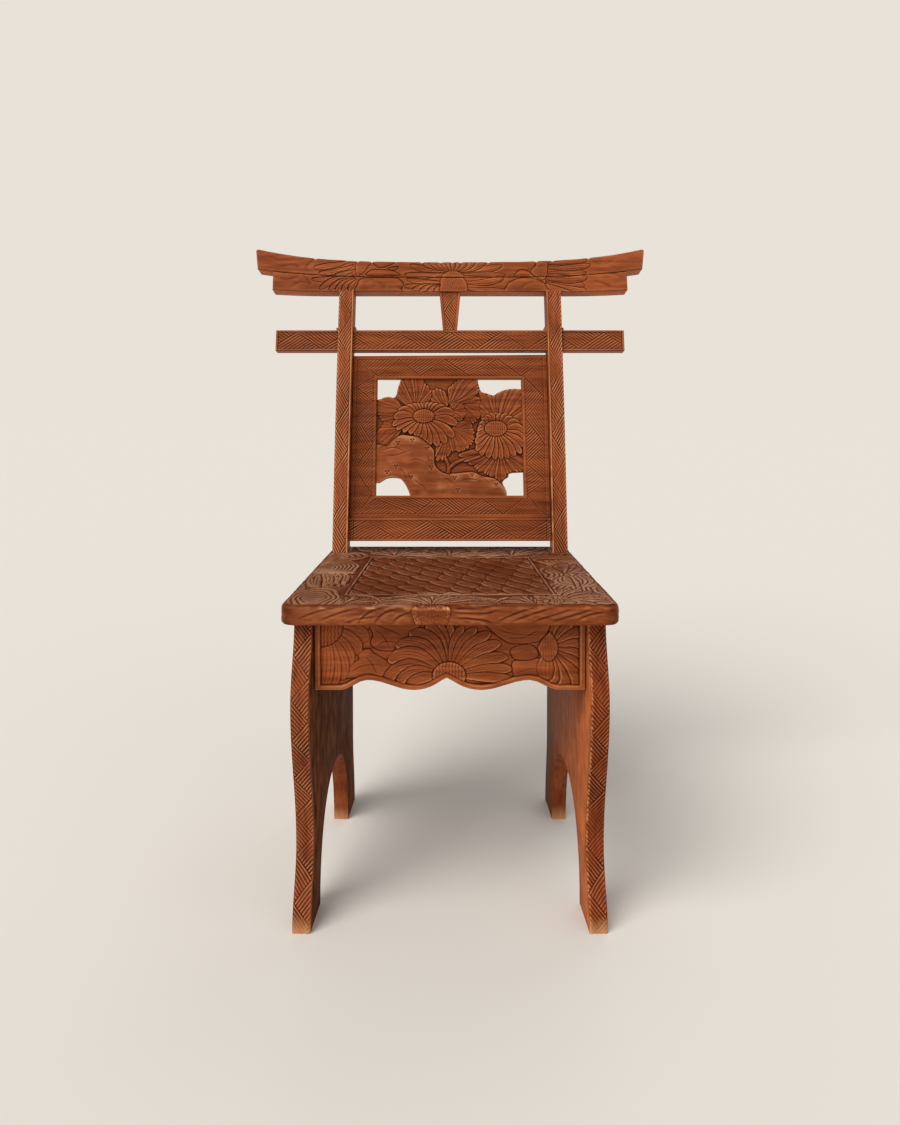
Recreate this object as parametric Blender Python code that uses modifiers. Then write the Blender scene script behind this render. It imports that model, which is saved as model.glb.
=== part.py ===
"""Carved side chair with a gate-shaped back, built board by board with its joinery.

Metres, +Z up, the front of the seat towards -Y. While the pieces are made, Y starts at the toes of
the side slabs; at the end the chair is moved so that the origin lies under the middle of its box.
"""

import math

import bmesh
import bpy
from mathutils import Matrix, Vector

# Gap left between pieces that touch
FIT = 0.0003

# Seat board
SEAT_HEIGHT = 0.407
SEAT_THICK = 0.026
SEAT_DEPTH = 0.416
SEAT_WIDTH = 0.412
SEAT_TAPER = 0.012
SEAT_NOSE = 0.020
SEAT_CORNER = 0.013
SEAT_ROUNDING = 0.006

# Side slabs: profiles are pairs of height as a share of the slab and distance behind toe or heel
SLAB_THICK = 0.0225
SLAB_SIDE_MARGIN = 0.0129
SLAB_REAR_MARGIN = 0.051
SLAB_TOE_IN = math.radians(2.34)
SLAB_FRONT = ((0.0, 0.000), (0.255, 0.022), (0.740, -0.010), (1.0, 0.011))
SLAB_REAR = ((0.0, 0.000), (0.32, -0.017), (1.0, -0.023))
SLAB_CHAMFER = 0.0015
FRONT_FOOT = 0.063
REAR_FOOT = 0.066
ARCH_HEIGHT = 0.137
ARCH_POWER = 2.2
SLAB_TENON = (0.011, 0.070, 0.012)
SLAB_TENON_SPOTS = (0.25, 0.75)

# Apron and rear rail between the slabs
APRON_FRONT = 0.017
APRON_THICK = 0.020
APRON_HEIGHT = 0.089
RAIL_THICK = 0.018
RAIL_HEIGHT = 0.070
RAIL_INSET = 0.020
TONGUE_DEPTH = 0.008
TONGUE_SHARE = 0.5

# Back posts: the rake grows from the seat to the lintel, and the tops lean inwards
POST_WIDTH = 0.025
POST_DEPTH = 0.034
POST_SIDE_MARGIN = 0.0077
POST_REAR_MARGIN = 0.0292
POST_BATTER = math.radians(0.5)
POST_CHAMFER = 0.001
RAKE_FOOT = math.radians(5.0)
RAKE_TOP = math.radians(10.0)
POST_TENON = (0.015, 0.022)
REAR_INSET = 0.002

# Back, from the seat up
LOWER_GAP = 0.0185
LOWER_HEIGHT = 0.0374
LOWER_THICK = 0.018
LOWER_TENON = 0.012
FRAME_HEIGHT = 0.2778
FRAME_SIDE_GAP = 0.0014
FRAME_THICK = 0.016
FRAME_TOP = 0.0442
FRAME_BOTTOM = 0.0370
FRAME_STILE = 0.0425
GROOVE_DEPTH = 0.005
PANEL_THICK = 0.010
PANEL_EDGE = 0.006
SLIT = 0.003
TIE_HEIGHT = 0.0355
TIE_LENGTH = 0.590
TIE_THICK = 0.020
STRUT_HEIGHT = 0.0665
STRUT_TOP = 0.0356
STRUT_BOTTOM = 0.0236
STRUT_THICK = 0.018
STRUT_TENON = 0.008

# Lintels: both curve up towards their ends by the same law
LOWER_LINTEL_LENGTH = 0.606
LOWER_LINTEL_HEIGHT = 0.025
LOWER_LINTEL_DEPTH = 0.029
TOP_LINTEL_LENGTH = 0.667
TOP_LINTEL_HEIGHT = 0.027
TOP_LINTEL_DEPTH = 0.032
SEAM_RISE = 0.0155
HORN_RISE = 0.0238
CURVE_POWER = 3.4
HORN_SLANT = 0.004
UNDERSIDE_RISE = 0.003

# Small joinery
TIE_WEDGE = (0.033, 0.014, 0.006, 0.0045)
POST_WEDGE = (0.0030, 0.0012, 0.019)
DOWEL_RADIUS = 0.005
DOWEL_LENGTH = 0.030
DOWEL_SPREAD = 0.100
SPLINE = (0.024, 0.004, 0.016)
LOOSE_TONGUE = (0.016, 0.006, 0.028)
LOOSE_TONGUE_SPOTS = (-0.25, 0.25)

# Openings cut at the panel's corners: shares of the half width and half height from the middle
OPENING_TOP_LEFT = (
    (-1.2, 0.64), (-1.00, 0.65), (-0.93, 0.68), (-0.86, 0.695), (-0.80, 0.68), (-0.755, 0.72),
    (-0.735, 0.84), (-0.70, 0.97), (-0.69, 1.2), (-1.2, 1.2),
)
OPENING_TOP_RIGHT = (
    (0.39, 1.2), (0.395, 0.97), (0.41, 0.88), (0.44, 0.79), (0.53, 0.75), (0.615, 0.72),
    (0.67, 0.765), (0.77, 0.815), (0.88, 0.835), (0.99, 0.83), (1.2, 0.83), (1.2, 1.2),
)
OPENING_BOTTOM_LEFT = (
    (-1.2, -0.80), (-1.00, -0.79), (-0.94, -0.755), (-0.87, -0.71), (-0.77, -0.70),
    (-0.685, -0.72), (-0.63, -0.79), (-0.585, -0.89), (-0.555, -1.0), (-0.55, -1.2), (-1.2, -1.2),
)
OPENING_BOTTOM_RIGHT = (
    (1.2, -0.605), (1.02, -0.605), (0.83, -0.625), (0.81, -0.685), (0.755, -0.73),
    (0.73, -0.79), (0.77, -0.89), (0.785, -0.98), (0.785, -1.2), (1.2, -1.2),
)

# Lower edge of the apron, from its cusp to either end: share of the way, share of the height.
# The carver set the cusp a little left of the middle.
APRON_CUSP = -0.0042
APRON_EDGE = (
    (0.0, 0.165), (0.04, 0.148), (0.10, 0.075), (0.17, 0.020), (0.26, 0.0), (0.34, 0.022),
    (0.42, 0.068), (0.50, 0.115), (0.56, 0.136), (0.60, 0.140), (0.65, 0.118), (0.70, 0.070),
    (0.745, 0.025), (0.79, 0.0), (1.0, 0.0),
)

# Carving: raised forms left standing on a sunk ground, with a plain rim round it
CARVE_DEPTH = 0.0026
CARVE_CROWN = 0.0004
CARVE_RIM = 0.009
CARVE_SLOPE = 0.10
CARVE_ROOT = 0.001
SEAT_PAD = 0.012

# Slanted leaves of the seat's field: width and length, steps across and along them, lean, place
SEAT_LEAF = (0.021, 0.040)
SEAT_LEAF_STEP = (0.025, 0.044)
SEAT_LEAF_LEAN = 0.62
SEAT_LEAF_MIDDLE = 0.171
SEAT_FIELD = (0.120, 0.122)

# Forms of the seat's borders, in millimetres from the middle and from the toes
SEAT_SHELLS = (
    # centre, radii
    ((-196, 309), (58, 22)),
    ((-196, 234), (58, 46)),
    ((-198, 138), (58, 44)),
    ((-172, 34), (34, 52)),
)
SEAT_FORMS = (
    (
        (162, 166), (203, 170), (203, 214), (197, 236), (184, 250), (168, 252), (152, 244), (142, 226),
        (138, 204), (141, 184),
    ),
    ((196, 268), (131, 268), (127, 302), (136, 326), (156, 334), (176, 328), (196, 324)),
    ((166, 84), (150, 94), (142, 112), (143, 134), (152, 152), (165, 160), (169, 140), (168, 110)),
    ((173, 84), (190, 86), (203, 98), (206, 122), (202, 146), (190, 160), (175, 159), (175, 108)),
    ((-130, -14), (-136, 32), (-118, 34), (-102, 28), (-92, 14), (-90, -4), (-92, -14)),
    ((104, -14), (60, -14), (60, 2), (66, 18), (78, 30), (94, 34), (108, 32)),
    ((-90, 310), (-132, 338), (-124, 364), (-104, 382), (-80, 389), (-58, 382), (-46, 362), (-44, 338)),
    ((-2, 310), (-42, 340), (-32, 372), (-8, 388), (18, 384), (34, 364), (39, 338)),
    ((98, 310), (41, 342), (50, 368), (74, 386), (104, 390), (132, 383), (150, 362), (152, 338)),
    (
        (140, 32), (147, 74), (158, 80), (171, 74), (182, 60), (190, 41), (195, 21), (197, 1),
        (178, -12), (150, -13), (122, -12), (112, 4), (115, 24), (127, 34),
    ),
    (
        (-88, -9), (-84, 6), (-72, 17), (-56, 25), (-39, 30), (-22, 32), (-7, 31), (9, 28),
        (24, 22), (38, 14), (50, 4), (57, -9),
    ),
)

# Flowers of the slabs' outer faces: distance from the toe, height, radius of the heart, radius
SLAB_FLOWERS = (
    (0.188, 0.262, 0.013, 0.060),
    (0.062, 0.150, 0.008, 0.034),
    (0.292, 0.190, 0.009, 0.038),
    (0.092, 0.318, 0.009, 0.040),
    (0.283, 0.330, 0.008, 0.036),
)
# Leaves of the slabs' outer faces: distance from the toe, height, direction in degrees, length
SLAB_LEAVES = (
    (0.140, 0.205, 225, 0.066),
    (0.245, 0.215, 300, 0.060),
    (0.130, 0.290, 170, 0.058),
    (0.250, 0.300, 20, 0.062),
    (0.190, 0.330, 80, 0.044),
    (0.040, 0.100, 260, 0.060),
    (0.300, 0.120, 275, 0.062),
    (0.060, 0.230, 100, 0.046),
    (0.310, 0.260, 60, 0.044),
    (0.060, 0.055, 250, 0.044),
    (0.302, 0.060, 285, 0.044),
)
SLAB_LEAF_RIM = ((-42, 0.62), (-21, 0.88), (0, 1.0), (21, 0.88), (42, 0.62))

SEAT_REAR = SEAT_DEPTH - SEAT_NOSE
SEAT_REAR_WIDTH = SEAT_WIDTH - SEAT_TAPER
SLAB_HEIGHT = SEAT_HEIGHT - SEAT_THICK - FIT
SLAB_DEPTH = SEAT_REAR - SLAB_REAR_MARGIN
SLAB_SPREAD = SEAT_WIDTH / 2 - SLAB_SIDE_MARGIN - SLAB_THICK
POST_SPREAD = SEAT_REAR_WIDTH / 2 - POST_SIDE_MARGIN - POST_WIDTH / 2
POST_FRONT = SEAT_REAR - POST_REAR_MARGIN - POST_DEPTH
BACK_RISE = (
    LOWER_GAP + LOWER_HEIGHT + FIT + FRAME_HEIGHT + SLIT + TIE_HEIGHT + FIT + STRUT_HEIGHT + FIT
)
BACK_RADIUS = BACK_RISE / (RAKE_TOP - RAKE_FOOT)
FRAME_CREST = LOWER_GAP + LOWER_HEIGHT + FIT + FRAME_HEIGHT
FRAME_WIDTH = 2 * (
    POST_SPREAD - POST_WIDTH / 2 - FRAME_CREST * math.tan(POST_BATTER) - FRAME_SIDE_GAP
)
OPENING_WIDTH = FRAME_WIDTH - 2 * FRAME_STILE
OPENING_HEIGHT = FRAME_HEIGHT - FRAME_TOP - FRAME_BOTTOM


def clear_scene():
    for obj in list(bpy.data.objects):
        bpy.data.objects.remove(obj, do_unlink=True)


def add_collection(name, hidden):
    collection = bpy.data.collections.new(name)
    bpy.context.scene.collection.children.link(collection)
    collection.hide_render = hidden
    return collection


clear_scene()
CHAIR = add_collection("carved_chair", hidden=False)
CUTTERS = add_collection("joinery_cutters", hidden=True)
ROOT = bpy.data.objects.new("chair_origin", None)
CHAIR.objects.link(ROOT)


def wood(name, colour):
    material = bpy.data.materials.new(f"{name}_wood")
    material.use_nodes = True
    shader = material.node_tree.nodes["Principled BSDF"]
    shader.inputs["Base Color"].default_value = (*colour, 1.0)
    shader.inputs["Roughness"].default_value = 0.45
    return material


RED_BROWN = (0.235, 0.075, 0.028)
DARK_BROWN = (0.150, 0.050, 0.022)
PALE_BROWN = (0.330, 0.150, 0.065)


def piece(name, mesh, matrix, colour=RED_BROWN):
    obj = bpy.data.objects.new(name, mesh)
    obj.data.materials.append(wood(name, colour))
    CHAIR.objects.link(obj)
    obj.parent = ROOT
    obj.matrix_basis = matrix
    return obj


def helper(name, mesh, matrix):
    obj = bpy.data.objects.new(name, mesh)
    CUTTERS.objects.link(obj)
    obj.parent = ROOT
    obj.matrix_basis = matrix
    obj.hide_render = True
    obj.display_type = "WIRE"
    return obj


def combine(obj, other, operation, overlaps=False):
    step = obj.modifiers.new(other.name, "BOOLEAN")
    step.use_self = overlaps
    step.operation = operation
    step.solver = "EXACT"
    step.object = other


def chamfer(obj, width, segments=1):
    step = obj.modifiers.new("edges", "BEVEL")
    step.width = width
    step.segments = segments
    step.limit_method = "ANGLE"
    step.angle_limit = math.radians(40)


def box_mesh(size, centre=(0.0, 0.0, 0.0), grow=0.0):
    mesh = bpy.data.meshes.new("box")
    body = bmesh.new()
    bmesh.ops.create_cube(body, size=1.0)
    bmesh.ops.scale(body, vec=[side + 2 * grow for side in size], verts=body.verts)
    bmesh.ops.translate(body, vec=centre, verts=body.verts)
    body.to_mesh(mesh)
    body.free()
    return mesh


def rod_mesh(radius, length, grow=0.0):
    mesh = bpy.data.meshes.new("rod")
    body = bmesh.new()
    bmesh.ops.create_cone(
        body,
        cap_ends=True,
        segments=24,
        radius1=radius + grow,
        radius2=radius + grow,
        depth=length + 2 * grow,
    )
    body.to_mesh(mesh)
    body.free()
    return mesh


# How an outline drawn flat is turned so that its thickness runs along X, Y or Z
TURNS = {
    "X": Matrix(((0, 0, 1, 0), (1, 0, 0, 0), (0, 1, 0, 0), (0, 0, 0, 1))),
    "Y": Matrix(((1, 0, 0, 0), (0, 0, -1, 0), (0, 1, 0, 0), (0, 0, 0, 1))),
    "Z": Matrix.Identity(4),
}


def board_mesh(outline, thickness, axis):
    """A closed outline, filled and made this thick along the axis, half to each side of it."""
    curve = bpy.data.curves.new("outline", "CURVE")
    curve.dimensions = "2D"
    curve.fill_mode = "BOTH"
    curve.extrude = thickness / 2
    spline = curve.splines.new("POLY")
    spline.points.add(len(outline) - 1)
    for point, (across, along) in zip(spline.points, outline):
        point.co = (across, along, 0.0, 1.0)
    spline.use_cyclic_u = True
    holder = bpy.data.objects.new("outline", curve)
    mesh = bpy.data.meshes.new_from_object(holder)
    bpy.data.objects.remove(holder)
    bpy.data.curves.remove(curve)
    body = bmesh.new()
    body.from_mesh(mesh)
    bmesh.ops.remove_doubles(body, verts=body.verts, dist=0.00001)
    bmesh.ops.dissolve_limit(
        body, angle_limit=0.001, verts=body.verts, edges=body.edges, use_dissolve_boundaries=False
    )
    bmesh.ops.recalc_face_normals(body, faces=body.faces)
    bmesh.ops.transform(body, matrix=TURNS[axis], verts=body.verts)
    body.to_mesh(mesh)
    body.free()
    return mesh


def forms_mesh(outlines, thickness, axis, side=1):
    """Low forms with sloping sides, one for each outline; side tells which way they rise."""
    mesh = bpy.data.meshes.new("forms")
    forms = bmesh.new()
    for outline in outlines:
        plain = board_mesh(outline, thickness, "Z")
        form = bmesh.new()
        form.from_mesh(plain)
        crown = [vertex for vertex in form.verts if vertex.co.z * side > 0]
        middle = sum((vertex.co for vertex in crown), Vector()) / len(crown)
        slope = (1 - CARVE_SLOPE, 1 - CARVE_SLOPE, 1)
        bmesh.ops.scale(form, vec=slope, space=Matrix.Translation(-middle), verts=crown)
        form.to_mesh(plain)
        form.free()
        forms.from_mesh(plain)
        bpy.data.meshes.remove(plain)
    bmesh.ops.transform(forms, matrix=TURNS[axis], verts=forms.verts)
    forms.to_mesh(mesh)
    forms.free()
    return mesh


def carve(obj, ground, limit, forms, matrix, axis, side=1):
    """Sinks the ground into a face and leaves the forms standing on it.

    The matrix has its origin on the face. The limit is an outline a little larger than the ground,
    so that forms which reach the rim end inside it.
    """
    reach = {"X": Vector((side, 0.0, 0.0)), "Z": Vector((0.0, 0.0, side))}[axis]
    deep = CARVE_DEPTH + CARVE_ROOT
    hollow_place = matrix @ Matrix.Translation(reach * (deep / 2 - CARVE_DEPTH))
    hollow = helper(f"{obj.name}_ground", board_mesh(ground, deep, axis), hollow_place)
    combine(obj, hollow, "DIFFERENCE")
    high = CARVE_DEPTH + CARVE_ROOT - CARVE_CROWN
    place = matrix @ Matrix.Translation(reach * (-CARVE_CROWN - high / 2))
    bounds = helper(f"{obj.name}_bounds", board_mesh(limit, 2 * high, axis), place)
    raised = helper(f"{obj.name}_forms", forms_mesh(forms, high, axis, side), place)
    combine(raised, bounds, "INTERSECT", overlaps=True)
    combine(obj, raised, "UNION")


def tenon(owner, hosts, name, matrix, size, centre):
    """A block joined to its owner, and the mortise for it, with clearance, in each host."""
    block = helper(f"{name}_tenon", box_mesh(size, centre), matrix)
    combine(owner, block, "UNION")
    hollow = helper(f"{name}_mortise", box_mesh(size, centre, grow=FIT), matrix)
    for host in hosts:
        combine(host, hollow, "DIFFERENCE")


def blend(stations, share):
    """A value eased from station to station, level at each of them."""
    for (start, first), (stop, last) in zip(stations, stations[1:]):
        if share <= stop:
            part = (share - start) / (stop - start)
            return first + (last - first) * (1 - math.cos(math.pi * part)) / 2
    return stations[-1][1]


def back_frame(rise, setback=0.0):
    """The frame of the back at this distance up the posts: X across, Y into the depth, Z up the rake."""
    tilt = RAKE_FOOT + (RAKE_TOP - RAKE_FOOT) * rise / BACK_RISE
    y = POST_FRONT + BACK_RADIUS * (math.cos(RAKE_FOOT) - math.cos(tilt))
    z = SEAT_HEIGHT + BACK_RADIUS * (math.sin(tilt) - math.sin(RAKE_FOOT))
    turn = Matrix.Rotation(-tilt, 4, "X")
    return Matrix.Translation((0.0, y, z)) @ turn @ Matrix.Translation((0.0, setback, 0.0))


def post_inner(z):
    """Distance of the posts' inner faces from the middle plane at this height."""
    return POST_SPREAD - POST_WIDTH / 2 - (z - SEAT_HEIGHT) * math.tan(POST_BATTER)


def make_seat():
    half_front = SEAT_WIDTH / 2
    half_rear = SEAT_REAR_WIDTH / 2
    front = -SEAT_NOSE
    rear = SEAT_REAR
    outline = []
    for side in (1, -1):
        corner = []
        for step in range(9):
            angle = math.radians(90 * step / 8)
            x = half_front - SEAT_CORNER * (1 - math.sin(angle))
            y = front + SEAT_CORNER * (1 - math.cos(angle))
            corner.append((side * x, y))
        corner.append((side * half_rear, rear - SEAT_ROUNDING))
        corner.append((side * (half_rear - SEAT_ROUNDING), rear))
        outline += corner if side == 1 else corner[::-1]
    middle = SEAT_HEIGHT - SEAT_THICK / 2
    mesh = board_mesh(outline, SEAT_THICK, "Z")
    seat = piece("seat_board", mesh, Matrix.Translation((0.0, 0.0, middle)))
    chamfer(seat, SEAT_ROUNDING, segments=3)
    forms = seat_leaves() + seat_borders()
    top = Matrix.Translation((0.0, 0.0, SEAT_HEIGHT))
    carve(seat, seat_ground(CARVE_RIM), seat_ground(CARVE_RIM - CARVE_ROOT), forms, top, "Z")
    return seat


def seat_ground(rim):
    """Outline of the sunk ground on the seat, clear of its edges and of the posts' feet."""
    front = rim - SEAT_NOSE
    rear = SEAT_REAR - rim
    half_front = SEAT_WIDTH / 2 - rim
    half_rear = SEAT_REAR_WIDTH / 2 - rim
    pad = POST_FRONT - SEAT_PAD - rim
    inner = POST_SPREAD - POST_WIDTH / 2 - rim
    right = [(half_front, front), (half_rear, pad), (inner, pad), (inner, rear)]
    return right + [(-x, y) for x, y in reversed(right)]


def seat_leaves():
    width, length = SEAT_LEAF
    step, pitch = SEAT_LEAF_STEP
    half_wide, half_deep = SEAT_FIELD
    turn = Matrix.Rotation(SEAT_LEAF_LEAN, 2)
    leaves = []
    for row in range(-8, 9):
        for number in range(-6, 7):
            middle = turn @ Vector((step * row, -pitch * (number + 0.5 * (row % 2))))
            if abs(middle.x) > half_wide - width / 2 or abs(middle.y) > half_deep - width / 2:
                continue
            leaf = []
            for share in (-1, -0.5, 0, 0.5, 1, 0.5, 0, -0.5):
                side = 1 if len(leaf) < 5 else -1
                point = turn @ Vector((side * width / 2 * (1 - share * share), share * length / 2))
                leaf.append((middle.x + point.x, SEAT_LEAF_MIDDLE + middle.y + point.y))
            leaves.append(leaf)
    return leaves


def seat_borders():
    forms = [[(x / 1000, y / 1000) for x, y in outline] for outline in SEAT_FORMS]
    for (x, y), (wide, deep) in SEAT_SHELLS:
        shell = []
        for step in range(16):
            angle = 2 * math.pi * step / 16
            shell.append(((x + wide * math.cos(angle)) / 1000, (y + deep * math.sin(angle)) / 1000))
        forms.append(shell)
    return forms


def slab_outline():
    steps = 24
    shares = [step / steps for step in range(steps + 1)]
    front = [(blend(SLAB_FRONT, share), share * SLAB_HEIGHT) for share in shares]
    rear = [(SLAB_DEPTH + blend(SLAB_REAR, share), share * SLAB_HEIGHT) for share in shares]
    start = FRONT_FOOT
    stop = SLAB_DEPTH - REAR_FOOT
    half = (stop - start) / 2
    arch = []
    for step in range(21):
        angle = math.pi * step / 20
        reach = math.copysign(abs(math.cos(angle)) ** (2 / ARCH_POWER), math.cos(angle))
        rise = math.sin(angle) ** (2 / ARCH_POWER)
        arch.append((start + half + half * reach, ARCH_HEIGHT * rise))
    arch[0] = (stop, 0.0)
    arch[-1] = (start, 0.0)
    return front + rear[::-1] + arch


def slab_ground(rim):
    """Outline of the sunk ground on a slab's outer face."""
    low, high = rim / SLAB_HEIGHT, 1 - rim / SLAB_HEIGHT
    shares = [low + (high - low) * step / 12 for step in range(13)]
    front = [(blend(SLAB_FRONT, share) + rim, share * SLAB_HEIGHT) for share in shares]
    rear = [(SLAB_DEPTH + blend(SLAB_REAR, share) - rim, share * SLAB_HEIGHT) for share in shares]
    half = (SLAB_DEPTH - REAR_FOOT - FRONT_FOOT) / 2 + rim
    crest = ARCH_HEIGHT + rim
    start = math.asin((rim / crest) ** (ARCH_POWER / 2))
    arch = []
    for step in range(13):
        angle = start + (math.pi - 2 * start) * step / 12
        reach = math.copysign(abs(math.cos(angle)) ** (2 / ARCH_POWER), math.cos(angle))
        arch.append((FRONT_FOOT - rim + half + half * reach, crest * math.sin(angle) ** (2 / ARCH_POWER)))
    return front + rear[::-1] + arch


def slab_forms():
    forms = []
    for y, z, heart, radius in SLAB_FLOWERS:
        flower = []
        for step in range(16):
            angle = 2 * math.pi * step / 16
            flower.append((y + radius * math.cos(angle), z + radius * math.sin(angle)))
        forms.append(flower)
    for y, z, direction, length in SLAB_LEAVES:
        leaf = [(y, z)]
        for turn, share in SLAB_LEAF_RIM:
            angle = math.radians(direction + turn)
            leaf.append((y + length * share * math.cos(angle), z + length * share * math.sin(angle)))
        forms.append(leaf)
    return forms


def make_slab(side, seat):
    name = "side_slab_left" if side < 0 else "side_slab_right"
    place = Matrix.Translation((side * SLAB_SPREAD, 0.0, 0.0))
    place = place @ Matrix.Rotation(side * SLAB_TOE_IN, 4, "Z")
    matrix = place @ Matrix.Translation((side * SLAB_THICK / 2, 0.0, 0.0))
    slab = piece(name, board_mesh(slab_outline(), SLAB_THICK, "X"), matrix)
    chamfer(slab, SLAB_CHAMFER)
    outer = matrix @ Matrix.Translation((side * SLAB_THICK / 2, 0.0, 0.0))
    carve(slab, slab_ground(CARVE_RIM), slab_ground(CARVE_RIM - CARVE_ROOT), slab_forms(), outer, "X", side)
    front = SLAB_FRONT[-1][1]
    rear = SLAB_DEPTH + SLAB_REAR[-1][1]
    width, length, height = SLAB_TENON
    for number, spot in enumerate(SLAB_TENON_SPOTS):
        y = front + (rear - front) * spot
        size = (width, length, 2 * height)
        tenon(slab, [seat], f"{name}_{number}", matrix, size, (0.0, y, SLAB_HEIGHT))
    return slab


def slab_inner(y):
    return SLAB_SPREAD / math.cos(SLAB_TOE_IN) - y * math.tan(SLAB_TOE_IN)


def make_apron(slabs):
    half = slab_inner(APRON_FRONT + APRON_THICK) - FIT
    base = SLAB_HEIGHT - APRON_HEIGHT
    edge = [(share, base + APRON_HEIGHT * rise) for share, rise in APRON_EDGE]
    right = [(APRON_CUSP + (half - APRON_CUSP) * share, z) for share, z in edge]
    left = [(APRON_CUSP - (half + APRON_CUSP) * share, z) for share, z in edge[:0:-1]]
    outline = right + [(half, SLAB_HEIGHT), (-half, SLAB_HEIGHT)] + left
    matrix = Matrix.Translation((0.0, APRON_FRONT + APRON_THICK / 2, 0.0))
    apron = piece("front_apron", board_mesh(outline, APRON_THICK, "Y"), matrix)
    height = APRON_HEIGHT * 0.66
    size = (TONGUE_DEPTH * 2, APRON_THICK * TONGUE_SHARE, height)
    for side, slab in zip((-1, 1), slabs):
        centre = (side * half, 0.0, SLAB_HEIGHT - APRON_HEIGHT * 0.05 - height / 2)
        tenon(apron, [slab], f"front_apron_{'left' if side < 0 else 'right'}", matrix, size, centre)
    return apron


def make_rear_rail(slabs):
    y = SLAB_DEPTH + SLAB_REAR[-1][1] - RAIL_INSET
    half = slab_inner(y + RAIL_THICK / 2) - FIT
    size = (2 * half, RAIL_THICK, RAIL_HEIGHT)
    matrix = Matrix.Translation((0.0, y, SLAB_HEIGHT - RAIL_HEIGHT / 2))
    rail = piece("rear_rail", box_mesh(size), matrix, DARK_BROWN)
    tongue = (TONGUE_DEPTH * 2, RAIL_THICK * TONGUE_SHARE, RAIL_HEIGHT * 0.7)
    for side, slab in zip((-1, 1), slabs):
        name = f"rear_rail_{'left' if side < 0 else 'right'}"
        tenon(rail, [slab], name, matrix, tongue, (side * half, 0.0, 0.0))
    return rail


def post_line(offset, steps):
    """Points up the post at this depth behind its front face, from the seat to the lintel."""
    radius = BACK_RADIUS - offset
    start = math.asin((FIT + BACK_RADIUS * math.sin(RAKE_FOOT)) / radius)
    stop = RAKE_TOP - FIT / BACK_RADIUS
    points = []
    for step in range(steps + 1):
        tilt = start + (stop - start) * step / steps
        y = BACK_RADIUS * math.cos(RAKE_FOOT) - radius * math.cos(tilt)
        z = radius * math.sin(tilt) - BACK_RADIUS * math.sin(RAKE_FOOT)
        points.append((y, z))
    return points


def post_matrix(side):
    place = Matrix.Translation((side * POST_SPREAD, POST_FRONT, SEAT_HEIGHT))
    return place @ Matrix.Rotation(-side * POST_BATTER, 4, "Y")


def wedge_mesh(wide, narrow, height, depth, grow=0.0):
    """A wedge with its wide end down, as deep along Y as it is told."""
    outline = (
        (-wide / 2 - grow, -grow),
        (wide / 2 + grow, -grow),
        (narrow / 2 + grow, height + grow),
        (-narrow / 2 - grow, height + grow),
    )
    return board_mesh(outline, depth + 2 * grow, "Y")


def make_post(side, seat, lintels):
    word = "left" if side < 0 else "right"
    outline = post_line(0.0, 10) + post_line(POST_DEPTH, 10)[::-1]
    matrix = post_matrix(side)
    post = piece(f"back_post_{word}", board_mesh(outline, POST_WIDTH, "X"), matrix)
    chamfer(post, POST_CHAMFER)
    width, depth = POST_TENON
    length = SEAT_THICK + 0.012
    size = (width, depth, length)
    centre = (0.0, POST_DEPTH / 2, length / 2 - SEAT_THICK)
    tenon(post, [seat], f"post_foot_{word}", matrix, size, centre)
    top = Matrix.Translation((0.0, -POST_FRONT, -SEAT_HEIGHT)) @ back_frame(BACK_RISE)
    length = LOWER_LINTEL_HEIGHT + 0.4 * TOP_LINTEL_HEIGHT + 0.012
    size = (width, POST_DEPTH * 0.45, length)
    centre = (0.0, POST_DEPTH / 2, length / 2 - 0.012)
    tenon(post, lintels, f"post_top_{word}", matrix @ top, size, centre)
    wide, narrow, height = POST_WEDGE
    foot = matrix @ Matrix.Translation((0.0, POST_DEPTH / 2, -SEAT_THICK))
    piece(f"post_wedge_{word}", wedge_mesh(wide, narrow, height, depth), foot, PALE_BROWN)
    kerf = helper(f"post_kerf_{word}", wedge_mesh(wide, narrow, height, depth + 0.002, FIT), foot)
    combine(post, kerf, "DIFFERENCE")
    return post


def frame_matrix():
    rise = LOWER_GAP + LOWER_HEIGHT + FIT + FRAME_HEIGHT / 2
    return back_frame(rise, POST_DEPTH - FRAME_THICK / 2 - REAR_INSET)


def make_lower_rail(posts):
    """The rail lies in the plane of the frame, which stands on it."""
    shift = ((FRAME_THICK - LOWER_THICK) / 2, -(FRAME_HEIGHT + LOWER_HEIGHT) / 2)
    matrix = frame_matrix() @ Matrix.Translation((0.0, *shift))
    half = post_inner(matrix.translation.z + LOWER_HEIGHT / 2) - FIT
    size = (2 * half, LOWER_THICK, LOWER_HEIGHT)
    rail = piece("lower_back_rail", box_mesh(size), matrix)
    block = (2 * LOWER_TENON, LOWER_THICK * 0.45, LOWER_HEIGHT * 0.6)
    for side, post in zip((-1, 1), posts):
        name = f"lower_rail_{'left' if side < 0 else 'right'}"
        tenon(rail, [post], name, matrix, block, (side * half, 0.0, 0.0))
    return rail


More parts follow.
